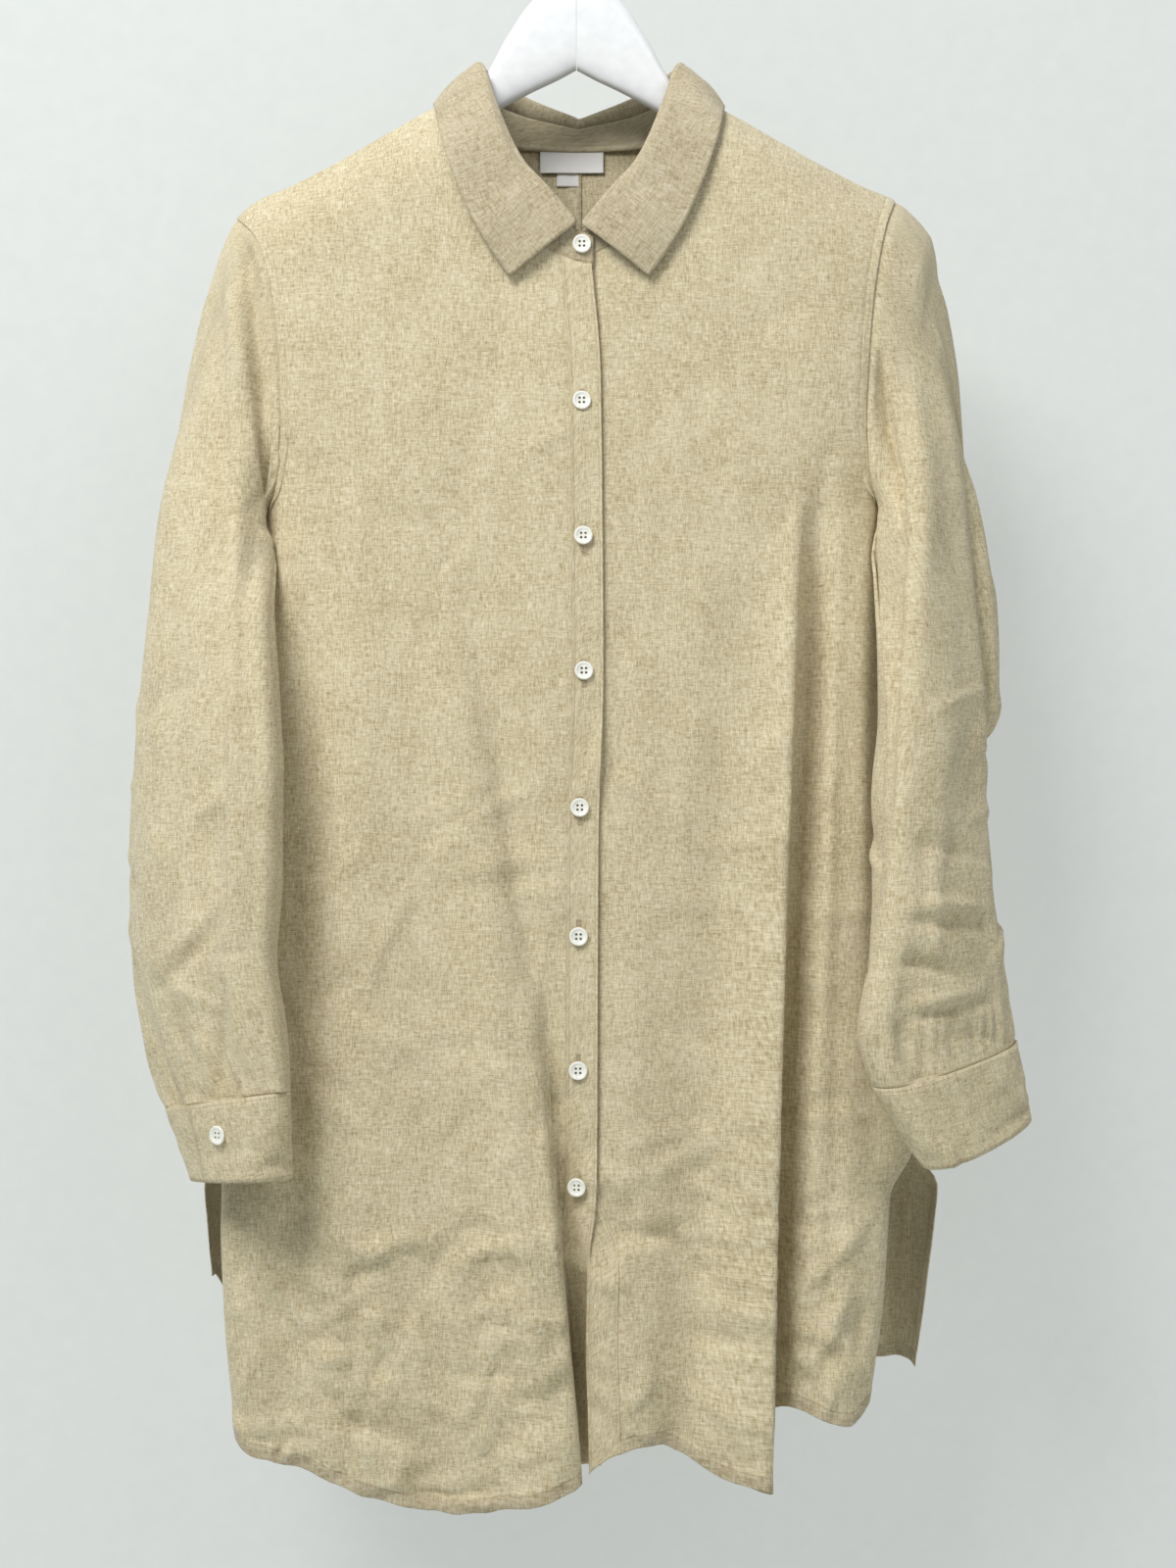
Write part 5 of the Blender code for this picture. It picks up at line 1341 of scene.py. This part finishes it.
# Hanger
hangerLook = {
    "sections": ((.00025, .020, 12), (.020, .066, 22), (.066, .188, 40), (.188, .197, 12)), "round": 40,
    "square": (.75, .62), "end": (.1985, .004, .25),  # how it rounds off: where, over how far, by what share
    "color": (.83, .84, .85), "roughness": .33, "coat": .35, "bump": (.0003, .3), "sharp": 60,
    "tones": ((.3, (.80, .81, .82)), (.7, (.86, .87, .88))),
}
lacquer, shader, nodes, links = newMaterial("whiteLacquer", hangerLook["color"], hangerLook["roughness"])
shader.inputs["Coat Weight"].default_value = hangerLook["coat"]
peel = clouded(shader, nodes, links, (1, 1, 1), 130, 2, hangerLook["tones"])
bumped(shader, nodes, links, peel, *hangerLook["bump"])
for side, sign in (("right", -1.0), ("left", 1.0)):
    x = runs(*hangerLook["sections"])
    tall, low, deep = (read(hanger, column, x)[:, None] for column in ("top", "bottom", "half"))
    at, reach, rounded = hangerLook["end"]
    end = smooth(at - x, 0, reach)[:, None] * rounded + (1 - rounded)
    turn = (np.arange(hangerLook["round"]) + .5) / hangerLook["round"] * 2 * np.pi
    c, s = np.cos(turn)[None, :], np.sin(turn)[None, :]
    across, upright = hangerLook["square"]
    y = deep * end * np.sign(c) * np.abs(c) ** across
    z = (tall + low) / 2 + (tall - low) / 2 * end * np.sign(s) * np.abs(s) ** upright
    grid = np.stack([sign * x[:, None] + 0 * y, y, z + 0 * y], axis=-1)
    shape = bmesh.new()
    rings = [[shape.verts.new(point) for point in ring] for ring in grid.tolist()]
    for a, b in zip(rings, rings[1:]):
        for j in range(len(a)):
            shape.faces.new((a[j], a[(j + 1) % len(a)], b[(j + 1) % len(a)], b[j]))
    shape.faces.new(rings[0])
    shape.faces.new(rings[-1])
    bmesh.ops.recalc_face_normals(shape, faces=shape.faces)
    mesh = bpy.data.meshes.new("hanger_arm_" + side)
    shape.to_mesh(mesh)
    shape.free()
    mesh.materials.append(lacquer)
    mesh.shade_smooth()
    mesh.set_sharp_from_angle(angle=math.radians(hangerLook["sharp"]))
    standFor(putIn("painted_arm_" + side, mesh), "hanger_arm_" + side)

hookLook = {
    "wire": .0020, "bow": .0180, "foot": -.0497, "neck": (.004, .002), "turn": (-70, 211, 5),  # degrees
    "color": (.60, .60, .61), "roughness": .22, "tones": ((.3, (.52, .52, .53)), (.7, (.68, .68, .69))),
}
steel, shader, nodes, links = newMaterial("hookSteel", hookLook["color"], hookLook["roughness"])
shader.inputs["Metallic"].default_value = 1.0
clouded(shader, nodes, links, (1, 1, .15), 900, 3, hookLook["tones"])
foot, bow, centre = hookLook["foot"], hookLook["bow"] + hookLook["wire"], -hookLook["bow"]
path = [(0, foot), (0, foot + hookLook["neck"][0]), (0, centre - bow - hookLook["neck"][1])]
for angle in np.radians(range(*hookLook["turn"])).tolist():
    path.append((bow * math.cos(angle), centre + bow * math.sin(angle)))
curve = bpy.data.curves.new("hook", "CURVE")
curve.dimensions, curve.use_fill_caps = "3D", True
curve.bevel_depth, curve.bevel_resolution = hookLook["wire"], 6
line = curve.splines.new("POLY")
line.points.add(len(path) - 1)
for point, (x, z) in zip(line.points, path):
    point.co = (x, 0, z, 1)
curve.materials.append(steel)
line.use_smooth = True
standFor(putIn("wire_hook", curve), "hook")
print("hanger is in")

# Studio
studio = {
    "wall": .14, "floor": -1.42, "wide": 4, "high": 3, "wallColor": (.34, .355, .34), "wallRoughness": .8,
    "wallTones": ((.3, (.33, .345, .335)), (.7, (.35, .365, .352))),
    "glowColor": (.96, 1, .98, 1), "wallGlow": .39, "worldColor": (.97, 1, .985, 1), "world": .175,
    # place, aim, size, watts
    "lights": (((-.95, -1.5, 1.3), (0, 0, -.4), 1.1, 61), ((1.4, -2.1, .8), (0, 0, -.5), 1.4, 12)),
    "camera": (.0072, -1.53, -.552), "lens": 56.25, "sensor": 36,
}
pale, shader, nodes, links = newMaterial("paleWall", studio["wallColor"], studio["wallRoughness"])
clouded(shader, nodes, links, (1, 1, 1), 90, 4, studio["wallTones"])
shader.inputs["Emission Color"].default_value = studio["glowColor"]
shader.inputs["Emission Strength"].default_value = studio["wallGlow"]


def sheetOf(name, corners):
    mesh = bpy.data.meshes.new(name)
    mesh.from_pydata(corners, [], [(0, 1, 2, 3)])
    mesh.materials.append(pale)
    return putIn(name, mesh)


y, z, wide, high = (studio[edge] for edge in ("wall", "floor", "wide", "high"))
sheetOf("studio_wall", [(-wide, y, z), (wide, y, z), (wide, y, high), (-wide, y, high)])
sheetOf("studio_floor", [(-wide, -wide, z), (wide, -wide, z), (wide, y, z), (-wide, y, z)])
world = bpy.data.worlds.new("soft light")
bpy.context.scene.world = world
world.use_nodes = True
world.node_tree.nodes["Background"].inputs[0].default_value = studio["worldColor"]
world.node_tree.nodes["Background"].inputs[1].default_value = studio["world"]
for number, (spot, aim, size, watts) in enumerate(studio["lights"]):
    lamp = bpy.data.lights.new(f"softbox {number}", "AREA")
    lamp.energy, lamp.size = watts, size
    softbox = putIn(f"softbox {number}", lamp)
    softbox.location = spot
    softbox.rotation_euler = (Vector(aim) - Vector(spot)).to_track_quat("-Z", "Y").to_euler()
lens = bpy.data.cameras.new("camera")
lens.sensor_fit, lens.sensor_height, lens.lens = "VERTICAL", studio["sensor"], studio["lens"]
camera = putIn("camera", lens)
camera.location, camera.rotation_euler = studio["camera"], (math.pi / 2, 0, 0)
bpy.context.scene.camera = camera
bpy.context.scene.view_settings.view_transform = "Standard"
print("studio is in")
